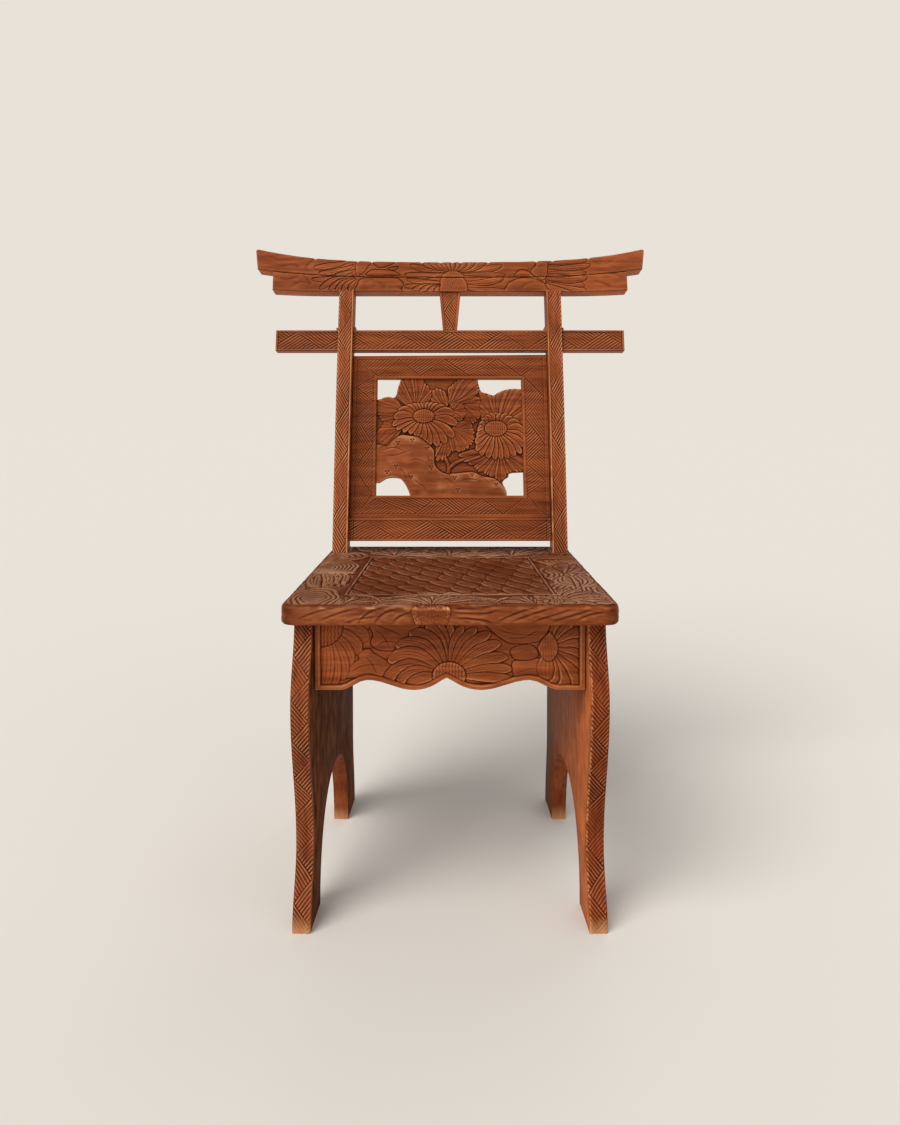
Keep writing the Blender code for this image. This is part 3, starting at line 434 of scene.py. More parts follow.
def carved(name, node, place, c, depth, material, grid, keep=None, bevel=None, wall=None, behind=None,
           side=None, wear_and_painted_light=0.0, gain=0.62, rim=0.5, over=0):
    """Closed carved board. The face is a grid of points with heights, and its walls go back to depth.

    The first rings of the wall, over in number, keep the wood of the face."""
    x, z, h = c.x, c.z, c.h
    count = x.size
    number = np.arange(count).reshape(x.shape)
    quads = np.stack([number[:-1, :-1], number[:-1, 1:], number[1:, 1:], number[1:, :-1]], -1)
    quads = quads.reshape(-1, 4) if keep is None else quads[keep]
    loop = boundary(quads, count)
    lx, lz, lh = x.ravel()[loop], z.ravel()[loop], h.ravel()[loop]
    tx, tz = np.roll(lx, -1) - np.roll(lx, 1), np.roll(lz, -1) - np.roll(lz, 1)
    size = np.maximum(np.hypot(tx, tz), 1e-9)
    nx, nz = tz / size, -tx / size
    bevel = 0.5 * grid if bevel is None else bevel
    # rim is the tone of the wall rings; above one half it paints them paler, which some pieces use as
    # painted light on their shaded walls.
    if wall is None:
        arris = np.minimum(0.8 - lh, (depth - lh) / 2)
        profile = [(0.0, arris, rim), (0.0, depth - bevel, rim), (-bevel, depth, rim)]
    else:
        profile = wall(lx, lz, lh, nx, nz)
    points = [place(x.ravel(), -h.ravel(), z.ravel())]
    tones = [(hollows(h, grid, gain) + wear_and_painted_light).ravel()]
    faces = quads.tolist()
    above, size = loop, len(loop)
    for n, (out, deep, tone) in enumerate(profile):
        deep = np.broadcast_to(np.asarray(deep, float), lx.shape)
        tones.append(np.broadcast_to(np.asarray(tone, float), lx.shape))
        points.append(place(lx + nx * out, deep, lz + nz * out))
        below = count + n * size + np.arange(size)
        faces.extend(np.stack([above, below, np.roll(below, -1), np.roll(above, -1)], -1).tolist())
        above = below
    out = profile[-1][0]
    outline = [Vector(spot) for spot in zip(lx + nx * out, lz + nz * out)]
    filled = delaunay_2d_cdt(outline, [], [list(range(size))], 1, 1e-6)
    plain = len(faces)
    for corners in filled[2]:
        if all(filled[3][v] for v in corners):
            faces.append([int(above[filled[3][v][0]]) for v in reversed(corners)])
    where = np.concatenate(points) + np.array([0.0, TOE_Y, 0.0])
    mesh = bpy.data.meshes.new(name)
    mesh.from_pydata((where * 0.001).tolist(), [], faces)
    mesh.update()
    shade = np.concatenate(tones).astype(np.float32)
    mesh.attributes.new("carve", "FLOAT", "POINT").data.foreach_set("value", shade)
    mesh.materials.append(material)
    kinds = np.zeros(len(faces), np.int32)
    for other, first, last in ((side, len(quads) + over * size, plain), (behind, plain, len(faces))):
        if other is not None:
            mesh.materials.append(other)
            kinds[first:last] = len(mesh.materials) - 1
    mesh.polygons.foreach_set("material_index", kinds)
    mesh.shade_smooth()
    mesh.set_sharp_from_angle(angle=math.radians(55))
    if volume(mesh) < 0:
        mesh.flip_normals()
    piece = bpy.data.objects.new(name, mesh)
    bpy.context.scene.collection.objects.link(piece)
    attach(piece, "root")
    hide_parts(node)


def volume(mesh):
    """Signed volume from a mesh's triangles, times six."""
    mesh.calc_loop_triangles()
    spots = np.empty(len(mesh.vertices) * 3)
    mesh.vertices.foreach_get("co", spots)
    spots = spots.reshape(-1, 3)
    corners = np.empty(len(mesh.loop_triangles) * 3, np.int32)
    mesh.loop_triangles.foreach_get("vertices", corners)
    a, b, c = (spots[corners.reshape(-1, 3)[:, k]] for k in range(3))
    return float(np.einsum("ij,ij->i", a, np.cross(b, c)).sum())


# Wood

WORN, PALE = (190, 126, 82), (208, 152, 106)


def linear(red, green, blue):
    """Colour socket value from 0-255 display values."""
    shares = [v / 255 for v in (red, green, blue)]
    return [s / 12.92 if s <= .04045 else ((s + .055) / 1.055) ** 2.4 for s in shares] + [1.0]


def grey(value):
    return (value, value, value, 1.0)


def wood(name, axis, dark, light, worn=WORN, shine=0.5, grain=1.0, wear=0.5, cut=True, foot=False,
         gloss=0.10, rear=None, mottle=0.0, pale=1.8):
    """Stained wood: grain along an axis, dark-stained hollows with painted shade in them, and worn pale
    ridges.
    Colours are display values. foot bares the lowest few millimetres, and rear is the colour towards the
    back."""
    material = bpy.data.materials.new(name)
    material.use_nodes = True
    nodes, links = material.node_tree.nodes, material.node_tree.links
    shader = nodes["Principled BSDF"]

    def put(socket, value):
        if isinstance(value, bpy.types.NodeSocket):
            links.new(value, socket)
        else:
            socket.default_value = value

    def node(kind, output, inputs=None, **values):
        made = nodes.new(kind)
        for key, value in values.items():
            setattr(made, key, value)
        for key, value in (inputs or {}).items():
            put(made.inputs[key], value)
        return made.outputs[output]

    def stretched(ratio):
        scale = [1.0 if letter == axis else ratio for letter in "XYZ"]
        return node("ShaderNodeMapping", "Vector", {"Vector": coords, "Scale": scale})

    def noise(vector, scale, detail, rough=0.55):
        inputs = {"Vector": vector, "Scale": scale, "Detail": detail, "Roughness": rough}
        return node("ShaderNodeTexNoise", "Fac", inputs)

    def ramp(source, *stops):
        made = nodes.new("ShaderNodeValToRGB")
        low, high = made.color_ramp.elements
        (low.position, low.color), (high.position, high.color) = stops[0], stops[-1]
        for position, colour in stops[1:-1]:
            made.color_ramp.elements.new(position).color = colour
        links.new(source, made.inputs["Fac"])
        return made.outputs["Color"]

    def mix(mode, share, first, second):
        inputs = {"Factor": share, 6: first, 7: second}
        return node("ShaderNodeMix", 2, inputs, data_type="RGBA", blend_type=mode)

    def scaled(source, factor, extra):
        return node("ShaderNodeMath", 0, {0: source, 1: factor, 2: extra}, operation="MULTIPLY_ADD")

    coords = node("ShaderNodeTexCoord", "Object")
    along = stretched(14.0)
    fibre = noise(along, 9.0 * grain, 5.0, 0.62)
    pores = noise(along, 46.0 * grain, 3.0)
    patches = noise(coords, 11.0, 3.0)

    colour = ramp(fibre, (0.30, linear(*dark)), (0.66, linear(*light)))
    colour = mix("MULTIPLY", 0.35, colour, ramp(pores, (0.34, grey(0.45)), (0.56, grey(1.0))))
    colour = mix("MULTIPLY", 0.6, colour, ramp(patches, (0.3, grey(0.72)), (0.7, grey(1.18))))
    if mottle:
        scuffs = noise(stretched(1.8), 30.0, 4.0, 0.6)
        colour = mix("MULTIPLY", mottle, colour, ramp(scuffs, (0.38, grey(0.35)), (0.62, grey(1.6))))
    if cut:
        carve = node("ShaderNodeAttribute", "Fac", attribute_name="carve")
        # The carve share darkens the hollows and lifts the ridges a little: dark-stained hollows, with
        # painted shade in them too.
        stain_and_shade = ramp(carve, (0.10, (0.30, 0.20, 0.13, 1.0)), (0.46, grey(0.95)), (0.64, grey(1.10)))
        colour = mix("MULTIPLY", 1.0, colour, stain_and_shade)
        rub = ramp(carve, (0.56, grey(0.0)), (0.80, grey(wear)), (1.0, grey(min(0.95, wear * 1.9))))
        rub = mix("MULTIPLY", 1.0, rub, ramp(patches, (0.38, grey(0.25)), (0.6, grey(1.0))))
        colour = mix("MIX", rub, colour, linear(*worn))
        bare = ramp(carve, (0.82, grey(0.0)), (1.0, grey(wear * pale)))
        colour = mix("MIX", bare, colour, linear(*PALE))
    place = nodes.new("ShaderNodeSeparateXYZ")
    links.new(coords, place.inputs["Vector"])
    if rear:
        behind = ramp(scaled(place.outputs["Y"], 2.4, 0.42), (0.25, grey(0.0)), (0.75, grey(0.85)))
        colour = mix("MIX", behind, colour, linear(*rear))
    if foot:
        low = ramp(scaled(fibre, 0.030, place.outputs["Z"]), (0.012, grey(0.85)), (0.034, grey(0.0)))
        colour = mix("MIX", low, colour, linear(*PALE))
    put(shader.inputs["Base Color"], colour)
    put(shader.inputs["Roughness"], ramp(patches, (0.3, grey(shine - 0.06)), (0.7, grey(shine + 0.12))))
    ridges = ramp(fibre, (0.2, grey(0)), (0.8, grey(1)))
    pits = ramp(pores, (0.3, grey(0)), (0.6, grey(1)))
    fine = mix("MIX", 0.5, ridges, pits)
    bump = node("ShaderNodeBump", "Normal", {"Strength": 0.25, "Distance": 0.0006, "Height": fine})
    put(shader.inputs["Normal"], bump)
    put(shader.inputs["Specular IOR Level"], gloss)
    return material


RAIL_WOOD = wood("rail_wood", "X", (108, 47, 19), (154, 80, 40), wear=0.32)
LINTEL_WOOD = wood("lintel_wood", "X", (112, 49, 20), (160, 84, 43), wear=0.17)
POST_WOOD = wood("post_wood", "Z", (114, 50, 22), (164, 86, 45), wear=0.42)
PANEL_WOOD = wood("panel_wood", "X", (104, 45, 19), (158, 82, 42), wear=0.17)
# The seat's worn colour is a pale grey-brown: wear on the ridges and a painted grey sheen.
SEAT_WOOD = wood("seat_wood", "X", (82, 33, 12), (118, 59, 27), (153, 117, 93), shine=0.62, wear=0.75,
                 gloss=0.05, pale=0.2)
APRON_WOOD = wood("apron_wood", "X", (112, 49, 20), (160, 83, 42), wear=0.15)
EDGE_WOOD = wood("seat_edge_wood", "X", (95, 40, 16), (138, 70, 34), wear=0.45)
SLAB_WOOD = wood("slab_wood", "Z", (98, 40, 16), (144, 72, 36), wear=0.42, foot=True)
SLAB_DARK_WOOD = wood("dark_slab_wood", "Z", (92, 33, 10), (136, 59, 23), wear=0.24, foot=True, gloss=0.08)
# Painted light: paler wood for the lintels' walls, which lightens their shaded undersides.
LINTEL_SIDE_LIGHTENED = wood("lintel_side_wood_lightened", "X", (140, 74, 38), (186, 108, 62), cut=False, gloss=0.05)
# Inner faces of the slabs: the left is darker, partly its own colour and partly painted shade; the right is
# paler and more orange, partly its own colour and partly painted light, and turns darker towards the back.
INNER_LEFT_SHADED = wood("inner_wood_left_shaded", "Z", (74, 40, 22), (112, 66, 39), shine=0.75, grain=1.7, cut=False,
                  gloss=0.03, mottle=0.7)
INNER_RIGHT_LIT = wood("inner_wood_right_lit", "Z", (162, 82, 41), (192, 108, 60), shine=0.6, grain=1.3, cut=False,
                   gloss=0.06, rear=(74, 44, 27), mottle=0.3)
BARE_WOOD = wood("bare_wood", "Z", (150, 100, 64), (178, 128, 88), cut=False, gloss=0.16)
UNDER_WOOD = wood("under_wood", "X", (70, 36, 19), (106, 62, 36), cut=False, gloss=0.16)


# Back posts, tie beam, strut and rails

def zigzag(low, high, half_period, start):
    """Turning points every half period, with one at start."""
    first = math.floor((low - start) / half_period) - 1
    last = math.ceil((high - start) / half_period) + 1
    return start + np.arange(first, last + 1) * half_period, (1 if first % 2 == 0 else -1)


def post_place(side):
    """Function that carries post points: x across, y back, z along the post's front line."""
    base = placed(move(side * POST_SPREAD, POST_FRONT, SEAT_HEIGHT) @ turn(-side * POST_BATTER, "Y"))
    start, stop = math.radians(RAKE_FOOT), math.radians(RAKE_TOP)

    def place(x, y, z):
        radius = BACK_RADIUS - y
        low = np.arcsin((FIT + BACK_RADIUS * math.sin(start)) / radius)
        angle = low + (stop - FIT / BACK_RADIUS - low) * z / BACK_RISE
        back = BACK_RADIUS * math.cos(start) - radius * np.cos(angle)
        return base(x, back, radius * np.sin(angle) - BACK_RADIUS * math.sin(start))
    return place


def strip(x, z, half_x, half_z, arris=1.2):
    """Carving with rounded long arrises over a face that is centred on zero."""
    c = Carving(x, z)
    c.h = c.h - soften(np.minimum(half_x - np.abs(x), half_z - np.abs(z)), arris)
    return c


def make_posts():
    half = POST_WIDTH / 2
    for side, word in SIDES:
        x, z = face(steps(-half, half, 0.55), steps(0, BACK_RISE, 0.62))
        c = strip(x, z, half, ENDLESS)
        knots, first = zigzag(0, BACK_RISE, 38.0, start=17.0 if side < 0 else 4.0)
        reeds(c, z, x - side * 1.5, 10.9, knots, first, lean=1, pitch=3.8, depth=1.5, towards=-1)
        inner = unit(1.2 - (half + side * x) / 1.6) * ease((260 - z) / 120)
        worn = 0.5 * inner * unit(0.2 + ripple(x * 0, z, 7.0, 17)) - 0.03 * side + 0.03
        carved("back_post_carved_" + word, "back_post_" + word, post_place(side), c, POST_DEPTH, POST_WOOD,
               0.58, wear_and_painted_light=worn)


def make_tie_beam():
    half, tall, border = TIE_LENGTH / 2, TIE_HEIGHT / 2, 4.2
    x, z = face(steps(-half, half, 0.72), steps(-tall, tall, 0.62))
    c = strip(x, z, half, tall, arris=1.4)
    knots, first = zigzag(-half, half, 43.5, start=0.0)
    inward = half - np.abs(x) - border
    reeds(c, x, z, tall - 3.4, knots, first, lean=-1, pitch=4.3, depth=1.6, fade=unit(inward / 0.8))
    c.cut(inward, width=1.0, depth=1.3)
    place = on_back(BACK_RISE - 2 * FIT - STRUT_HEIGHT - tall, TIE_THICK)
    # The raised wall tone (rim 0.72) is painted light that makes the shaded underside paler.
    carved("tie_beam_carved", "tie_beam", place, c, TIE_THICK, RAIL_WOOD, 0.66, rim=0.72)


def make_strut():
    half = STRUT_HEIGHT / 2 - FIT
    u, z = face(np.linspace(-1, 1, 56), steps(-half, half, 0.62))
    wide = (STRUT_TOP + (STRUT_BOTTOM - STRUT_TOP) * (half - z) / (2 * half)) / 2
    c = strip(u * wide, z, wide, half)
    reeds(c, -z, c.x, wide - 4.2, (-70, -29, 2, 34, 70), -1, lean=1, pitch=3.8, depth=1.5, towards=-1)
    place = on_back(BACK_RISE - FIT - STRUT_HEIGHT / 2, STRUT_THICK)
    carved("centre_strut_carved", "centre_strut", place, c, STRUT_THICK, POST_WOOD, 0.62)


FRAME_PLACE = back_frame(LOWER_GAP + LOWER_HEIGHT + FIT + FRAME_HEIGHT / 2,
                         POST_DEPTH - FRAME_THICK / 2 - REAR_INSET)


def post_inner(z):
    return POST_SPREAD - POST_WIDTH / 2 - (z - SEAT_HEIGHT) * math.tan(math.radians(POST_BATTER))


def make_lower_rail():
    place = FRAME_PLACE @ move(0, (FRAME_THICK - LOWER_THICK) / 2, -(FRAME_HEIGHT + LOWER_HEIGHT) / 2)
    tall = LOWER_HEIGHT / 2
    half = post_inner(place.translation.z + tall) - FIT
    x, z = face(steps(-half, half, 0.7), steps(-tall, tall, 0.62))
    c = strip(x, z, half, tall)
    knots = (-190, -138, -87, -37, 14, 62, 112, 160, 210)
    reeds(c, x, z, tall - 4.2, knots, -1, lean=-1, pitch=4.0, depth=1.5)
    c.cut(half - 7 - np.abs(x), width=0.8, depth=0.9)
    place = placed(place @ move(0, -LOWER_THICK / 2, 0))
    carved("lower_back_rail_carved", "lower_back_rail", place, c, LOWER_THICK, RAIL_WOOD, 0.66)


def frame_member(node, inner, outer, upright, outward, knots, first, lean, pitch=3.8):
    """One mitred member between its inner and outer edges, each given by two ends."""
    (ax, az), (bx, bz) = inner
    (cx, cz), (dx, dz) = outer
    long_way = max(math.hypot(dx - cx, dz - cz), math.hypot(bx - ax, bz - az))
    wide = abs((cx + dx - ax - bx) / 2) if upright else abs((cz + dz - az - bz) / 2)
    u, v = face(np.linspace(0, 1, int(long_way / 0.7)), np.linspace(0, 1, int(wide / 0.62)))
    c = Carving((ax + (bx - ax) * u) * (1 - v) + (cx + (dx - cx) * u) * v,
                (az + (bz - az) * u) * (1 - v) + (cz + (dz - cz) * u) * v)
    from_end, from_side = np.minimum(u, 1 - u) * long_way * 0.7, np.minimum(v, 1 - v) * wide
    c.h = c.h - soften(np.minimum(from_end, from_side), 0.9)
    inner_rim, outer_rim = 5.0, 6.4
    half = (wide - inner_rim - outer_rim) / 2
    across = outward * (v * wide - inner_rim - half)
    reeds(c, c.z if upright else c.x, across, half, knots, first, lean, pitch, depth=1.4,
          towards=-1 if upright else 1)
    c.h = c.h - 0.5 * unit(v * 3 - 2.4)
    if upright:
        c.x, c.z, c.h = c.x.T, c.z.T, c.h.T
    place = placed(FRAME_PLACE @ move(0, -FRAME_THICK / 2, 0))
    carved(node + "_carved", node, place, c, FRAME_THICK, RAIL_WOOD, 0.66)


def make_frame():
    half, gap = FRAME_HEIGHT / 2, 0.6
    lift = half * math.cos(math.radians((RAKE_FOOT + RAKE_TOP) / 2))
    far_top = post_inner(FRAME_PLACE.translation.z + lift) - gap
    far_low = post_inner(FRAME_PLACE.translation.z - lift) - gap
    near, in_top, in_low = FRAME_WIDTH / 2 - FRAME_STILE, half - FRAME_TOP, FRAME_BOTTOM - half
    top_left, top_right = (-far_top, half - 5.2), (far_top, half - 3.0)
    low_left, low_right = (-far_low, -half), (far_low, -half)
    open_top_left, open_top_right = (-near - 3.2, in_top), (near + 0.4, in_top)
    open_low_left, open_low_right = (-near - 3.6, in_low), (near + 2.8, in_low)
    frame_member("frame_top_rail", (open_top_left, open_top_right), (top_left, top_right), False, 1,
                 (-163, -120.5, -86, -51, -8, 32, 80, 120.5, 163), first=1, lean=1, pitch=3.9)
    frame_member("frame_bottom_rail", (open_low_left, open_low_right), (low_left, low_right), False, -1,
                 (-163, -121, -60, -24, 12, 53, 88, 121, 163), first=-1, lean=-1)
    frame_member("frame_left_stile", (open_low_left, open_top_left), (low_left, top_left), True, -1,
                 (-139, -100, -57, -15, 29, 56, 80, 98, 139), first=-1, lean=1)
    frame_member("frame_right_stile", (open_low_right, open_top_right), (low_right, top_right), True, 1,
                 (-139, -100, -77, -49, -17, 27, 65, 98, 139), first=1, lean=-1)


# Lintels

LINTEL_PETALS = (
    # base, tip, width, bend
    ((-162, 53), (-212, 57), 8, 0), ((-172, 54), (-234, 42), 10, 2), ((-165, 46), (-225, 32), 9.5, 3),
    ((-162, 38), (-197, 29), 7, 1), ((-164, 26), (-237, 22), 9, 2), ((-162, 23), (-223, 5), 11, -7),
    ((-161, 22), (-207, 2), 9.5, -6), ((-160, 22), (-196, 1), 9, -5), ((-159, 22), (-185, 0), 8.5, -4),
    ((-159, 21), (-173, 0), 8, -2), ((-4, 36), (-69, 47), 10, 3), ((-8, 31), (-78, 29.5), 10, 2), ((-6, 37),
    (-49, 54), 9, 2), ((-4, 36), (-37, 55), 8, 2), ((-3, 36), (-26, 55), 7.5, 1), ((-2, 37), (-16, 55), 7,
    0), ((14, 36), (90, 46), 11, -4), ((13, 36), (63, 54), 11, -4), ((13, 37), (44, 55), 9.5, -3),
    ((12, 37), (29, 55), 8.5, -2), ((10, 37), (18, 55), 7.5, 0), ((1, 37), (-6, 56), 7, 0), ((5, 37),
    (6, 56), 7.5, 0), ((18, 29), (96, 28.5), 7, 1), ((-14, 17), (-75, 22), 8, 2), ((-15, 12), (-78, 10.5),
    9.5, 3), ((-15, 10), (-65, 3), 8.5, -3), ((-15, 10), (-52, 1), 8, -3), ((-15, 9), (-39, 0), 7.5, -2),
    ((-15, 8), (-27, 0), 7, -1), ((27, 6), (95, 1), 11, -3), ((27, 16), (92, 24), 11, -4), ((167, 50),
    (235, 55), 9, -2), ((168, 33), (234, 33), 8, 0), ((168, 42), (241, 47), 10, -3), ((163, 17), (234, -1),
    13, 3), ((163, 20), (231, 10), 11, 2), ((166, 23), (236, 25), 11, -4))
LINTEL_FORMS = (
    ((-132, 55), (-123, 42), (-107, 44), (-92, 55)), ((-107, 40), (-100, 43), (-88, 44), (-94, 37)),
    ((-141, 28), (-138, 36), (-129, 39), (-107, 38), (-94, 35), (-87, 28)), ((-158, -2), (-158, 13),
    (-153, 22), (-138, 24.6), (-94, 24.6), (-84, 20), (-79, 13), (-83, 5), (-87, -2)), ((111, 26),
    (113, 33), (121, 39), (132, 37), (140, 31), (142, 26)), ((95, -2), (96, 9), (102, 17), (120, 24),
    (143, 23), (159, 17), (166, 7), (167, -2)))
LINTEL_WAVES = (
    ((-230, 60), (-244, 47), (-246, 42), (-238, 35)), ((-317, 65), (-291, 56), (-260, 56)), ((-293, 45),
    (-271, 47), (-254, 42)), ((-297, 25), (-276, 22), (-254, 31)), ((-276, 6), (-254, 18), (-238, 12)),
    ((-254, 34), (-243, 20), (-236, 9)), ((242, 55), (257, 49), (289, 42)), ((252, 56), (270, 51),
    (286, 62)), ((241, 20), (257, 17), (280, 8)), ((268, 34), (286, 30), (300, 22)), ((118, 4), (132, 14),
    (147, 18)), ((129, 37), (141, 41), (146, 46), (145, 52)), ((84, 15), (91, 20), (97, 23)), ((-151, 13),
    (-133, 20), (-116, 13), (-98, 9)), ((-135, 8), (-120, 12), (-107, 5)))
LINTEL_CAPS = (
    ((-160, 54), (-135, 53), (-140, 44), (-148, 32), (-153, 29), (-160, 29)), ((148, 52), (166, 52),
    (167, 40), (165, 27), (159, 20), (151, 24), (143, 28), (138, 36), (146, 46)), ((-15, -1), (-16, 12),
    (-15, 24), (5, 24.5), (22, 24.5), (28, 17), (29, 10), (26, -1)), ((-12, 25), (-10, 31), (-3, 35),
    (5, 36), (13, 35), (20, 31), (22, 25)))
LINTEL_NOTCHES = (-231, -158, -134, -48, -16, 4, 18, 66, 148, 176, 238)


def lintel_relief(x, z):
    c = Carving(x, z, -0.9)
    slant = np.where(x < 0, -0.42, 0.36)
    c.h = c.h + 0.8 * ripple(x + slant * z, 3.2 * (z - slant * x), 34, 3)
    for outline in LINTEL_FORMS:
        c.form(outline, level=-2.6, rise=2.7, shoulder=9, uneven=0.3, seed=4)
    for base, tip, width, bend in LINTEL_PETALS:
        c.petal(base, tip, width * 1.2, level=-3.3, rise=3.3, bend=bend, tilt=0.7)
    for outline in LINTEL_CAPS:
        far = c.form(outline, level=-1.8, rise=2.0, shoulder=4)
        c.stipple(2.6, 0.7, 8, far > 1.0)
    for points in LINTEL_WAVES:
        c.groove(points, width=4.6, depth=0.9)
    return c


def lintel(node, x, v, ends, low, high, depth, grid, arris):
    """One lintel between its lower and upper lines, with ends as the distance to its nearer end."""
    z = low + (high - low) * v
    c = lintel_relief(x, z)
    c.h = c.h - soften(np.minimum(ends, np.minimum(z - low, high - z)), arris)
    carved(node + "_carved", node, on_back(BACK_RISE, depth), c, depth, LINTEL_WOOD, grid,
           side=LINTEL_SIDE_LIGHTENED, wear_and_painted_light=0.07 * ripple(x, z * 2, 24, 4))


def make_lintels():
    half_low, half_top, straight = LOWER_LINTEL_LENGTH / 2, TOP_LINTEL_LENGTH / 2, 204.8

    def curve(x, rise):
        return rise * (np.abs(x) / half_top) ** CURVE_POWER

    u, v = face(np.linspace(-1, 1, 800), np.linspace(0, 1, 40))
    x = u * half_low
    low = UNDERSIDE_RISE * unit((np.abs(x) - straight) / (half_low - straight)) ** 2
    high = LOWER_LINTEL_HEIGHT + curve(x, SEAM_RISE)
    lintel("lower_lintel", x, v, half_low - np.abs(x), low, high, LOWER_LINTEL_DEPTH, 0.75, 1.3)

    u, v = face(np.linspace(-1, 1, 860), np.linspace(0, 1, 44))
    reach = half_top - HORN_SLANT * (1 - v)
    x = u * reach
    low = LOWER_LINTEL_HEIGHT + curve(x, SEAM_RISE) + FIT
    high = LOWER_LINTEL_HEIGHT + FIT + TOP_LINTEL_HEIGHT + curve(x, HORN_RISE)
    for spot in LINTEL_NOTCHES:
        high = high - 1.6 * np.exp(-((x - spot) / 2.6) ** 2)
    high = high - 3.0 * unit(1 - (half_top - np.abs(x)) / 5) ** 2
    lintel("top_lintel", x, v, reach - np.abs(x), low, high, TOP_LINTEL_DEPTH, 0.78, 1.4)


# Openwork panel

PANEL_OPENINGS = (
    ((-1.2, .64), (-1, .65), (-.93, .68), (-.86, .695), (-.80, .68), (-.755, .72), (-.735, .84),
    (-.70, .97), (-.69, 1.2), (-1.2, 1.2)), ((.39, 1.2), (.395, .97), (.41, .88), (.44, .79), (.53, .75),
    (.615, .72), (.67, .765), (.77, .815), (.88, .835), (.99, .83), (1.2, .83), (1.2, 1.2)), ((-1.2, -.80),
    (-1, -.79), (-.94, -.755), (-.87, -.71), (-.77, -.70), (-.685, -.72), (-.63, -.79), (-.585, -.89),
    (-.555, -1), (-.55, -1.2), (-1.2, -1.2)), ((1.2, -.605), (1.02, -.605), (.83, -.625), (.81, -.685),
    (.755, -.73), (.73, -.79), (.77, -.89), (.785, -.98), (.785, -1.2), (1.2, -1.2)))
PANEL_LEAVES = (
    # origin, rim, ribs, level, rise
    ((-76, 42), ((-91, 67), (-106, 69), (-123, 64), (-128, 50), (-121, 35), (-116, 28), (-113, 20),
    (-98, 22)), 6, -3.2, 1.9), ((-78, 16), ((-110, 27), (-119, 14), (-126, 1), (-127, -16), (-112, -18),
    (-97, -12)), 4, -3.2, 1.9), ((-59, 42), ((-92, 67), (-91, 81), (-88, 97), (-76, 101), (-61, 102),
    (-47, 100), (-41, 91), (-32, 83), (-30, 73), (-32, 65), (-39, 58)), 10, -3.0, 2.8), ((15, 57),
    ((52, 66), (55, 58), (57, 46), (53, 37), (46, 27), (38, 21), (28, 18)), 5, -2.9, 2.1), ((-1, 54),
    ((-4, 82), (3, 89), (13, 97), (25, 102), (47, 100), (50, 87), (51, 78), (46, 70), (52, 64), (36, 57)),
    8, -2.8, 2.7), ((-6, 48), ((-39, 52), (-32, 64), (-30, 78), (-24, 83), (-14, 81), (-8, 76), (-3, 66),
    (-1, 59)), 5, -2.6, 2.5), ((82, 25), ((53, 29), (50, 46), (51, 63), (49, 78), (59, 75), (74, 72),
    (85, 78), (99, 83), (126, 82), (128, 63), (128, 40), (124, 20)), 10, -3.0, 2.8), ((84, -16), ((33, -22),
    (21, -26), (14, -30), (18, -37), (26, -44), (38, -49), (44, -57), (54, -61), (65, -66), (73, -70),
    (83, -77), (92, -69), (100, -61), (113, -59), (130, -57), (130, -40)), 14, -3.0, 2.7), ((-4, 16),
    ((27, -19), (17, -24), (9, -24), (1, -28), (-4, -34), (-13, -41), (-22, -41), (-25, -34), (-24, -22),
    (-24, -10)), 8, -2.6, 2.4), ((2, 14), ((20, 30), (34, 24), (40, 14), (42, 2), (40, -9), (36, -15),
    (29, -21), (21, -25), (10, -26)), 9, -2.5, 2.0), ((-3, 45), ((3, 57), (11, 59), (20, 56), (26, 50),
    (29, 43), (27, 36), (22, 29), (15, 26), (7, 27)), 6, -2.0, 2.4))
PANEL_FLOWERS = (
    # centre, cap radii, petal tips
    ((77, 14), (19, 13.2), ((77, 42), (87, 40), (98, 38), (108, 31), (118, 23), (125, 10), (126, -5),
    (126, -17), (120, -28), (109, -33), (97, -37), (86, -39), (75, -39), (63, -36), (51, -32), (44, -24),
    (43, -12), (45, 0), (46, 10), (48, 20), (53, 29), (60, 36), (69, 41))), ((-44, 35), (18, 11.8),
    ((-43, 59), (-35, 59), (-26, 57), (-15, 54), (-5, 49), (8, 40), (13, 21), (7, -1), (-6, -11),
    (-20, -16), (-33, -14), (-45, -8), (-57, 0), (-68, 5), (-79, 8), (-90, 12), (-97, 19), (-95, 33),
    (-88, 44), (-77, 51), (-68, 55), (-59, 57), (-51, 58))))
PANEL_ROCK = (
    (-128, -20), (-106, -15), (-97, -6), (-83, 3), (-67, 2), (-52, 0), (-41, -8), (-32, -16), (-26, -25),
    (-26, -42), (-21, -53), (-9, -61), (9, -61), (38, -59), (55, -66), (72, -69), (82, -75), (93, -88),
    (97, -103), (-13, -110), (-128, -110))
PANEL_PUNCHES = (
    (-87, -10), (-63, -6), (-38, -20), (-90, -50), (-105, -59), (-65, -68), (-31, -52), (8, -69), (37, -64),
    (77, -80), (13, -89))
PANEL_PUNCH_DOTS = ((-2.1, 1.2), (2.0, 1.4), (0.1, -1.9))
PANEL_GOUGES = (
    ((-84, -53), (-76, -61), (-72, -71)), ((-59, -72), (-52, -78), (-47, -84)), ((-51, -78), (-43, -84),
    (-39, -93)), ((-14, -65), (-3, -72), (7, -81)), ((47, -64), (59, -72), (69, -81)), ((-115, -23),
    (-93, -18), (-76, -25)), ((-37, -32), (-34, -42)), ((-106, -32), (-88, -30), (-60, -21)), ((-72, -42),
    (-55, -38), (-37, -45)), ((18, -74), (31, -71), (48, -72)))
PANEL_TWIG = (((-3, -64), (-2, -50), (-7, -38)), ((-2, -53), (9, -44), (23, -38)))
CELL_CORNERS = [(rows, cols) for rows in (slice(None, -1), slice(1, None))
                for cols in (slice(None, -1), slice(1, None))]


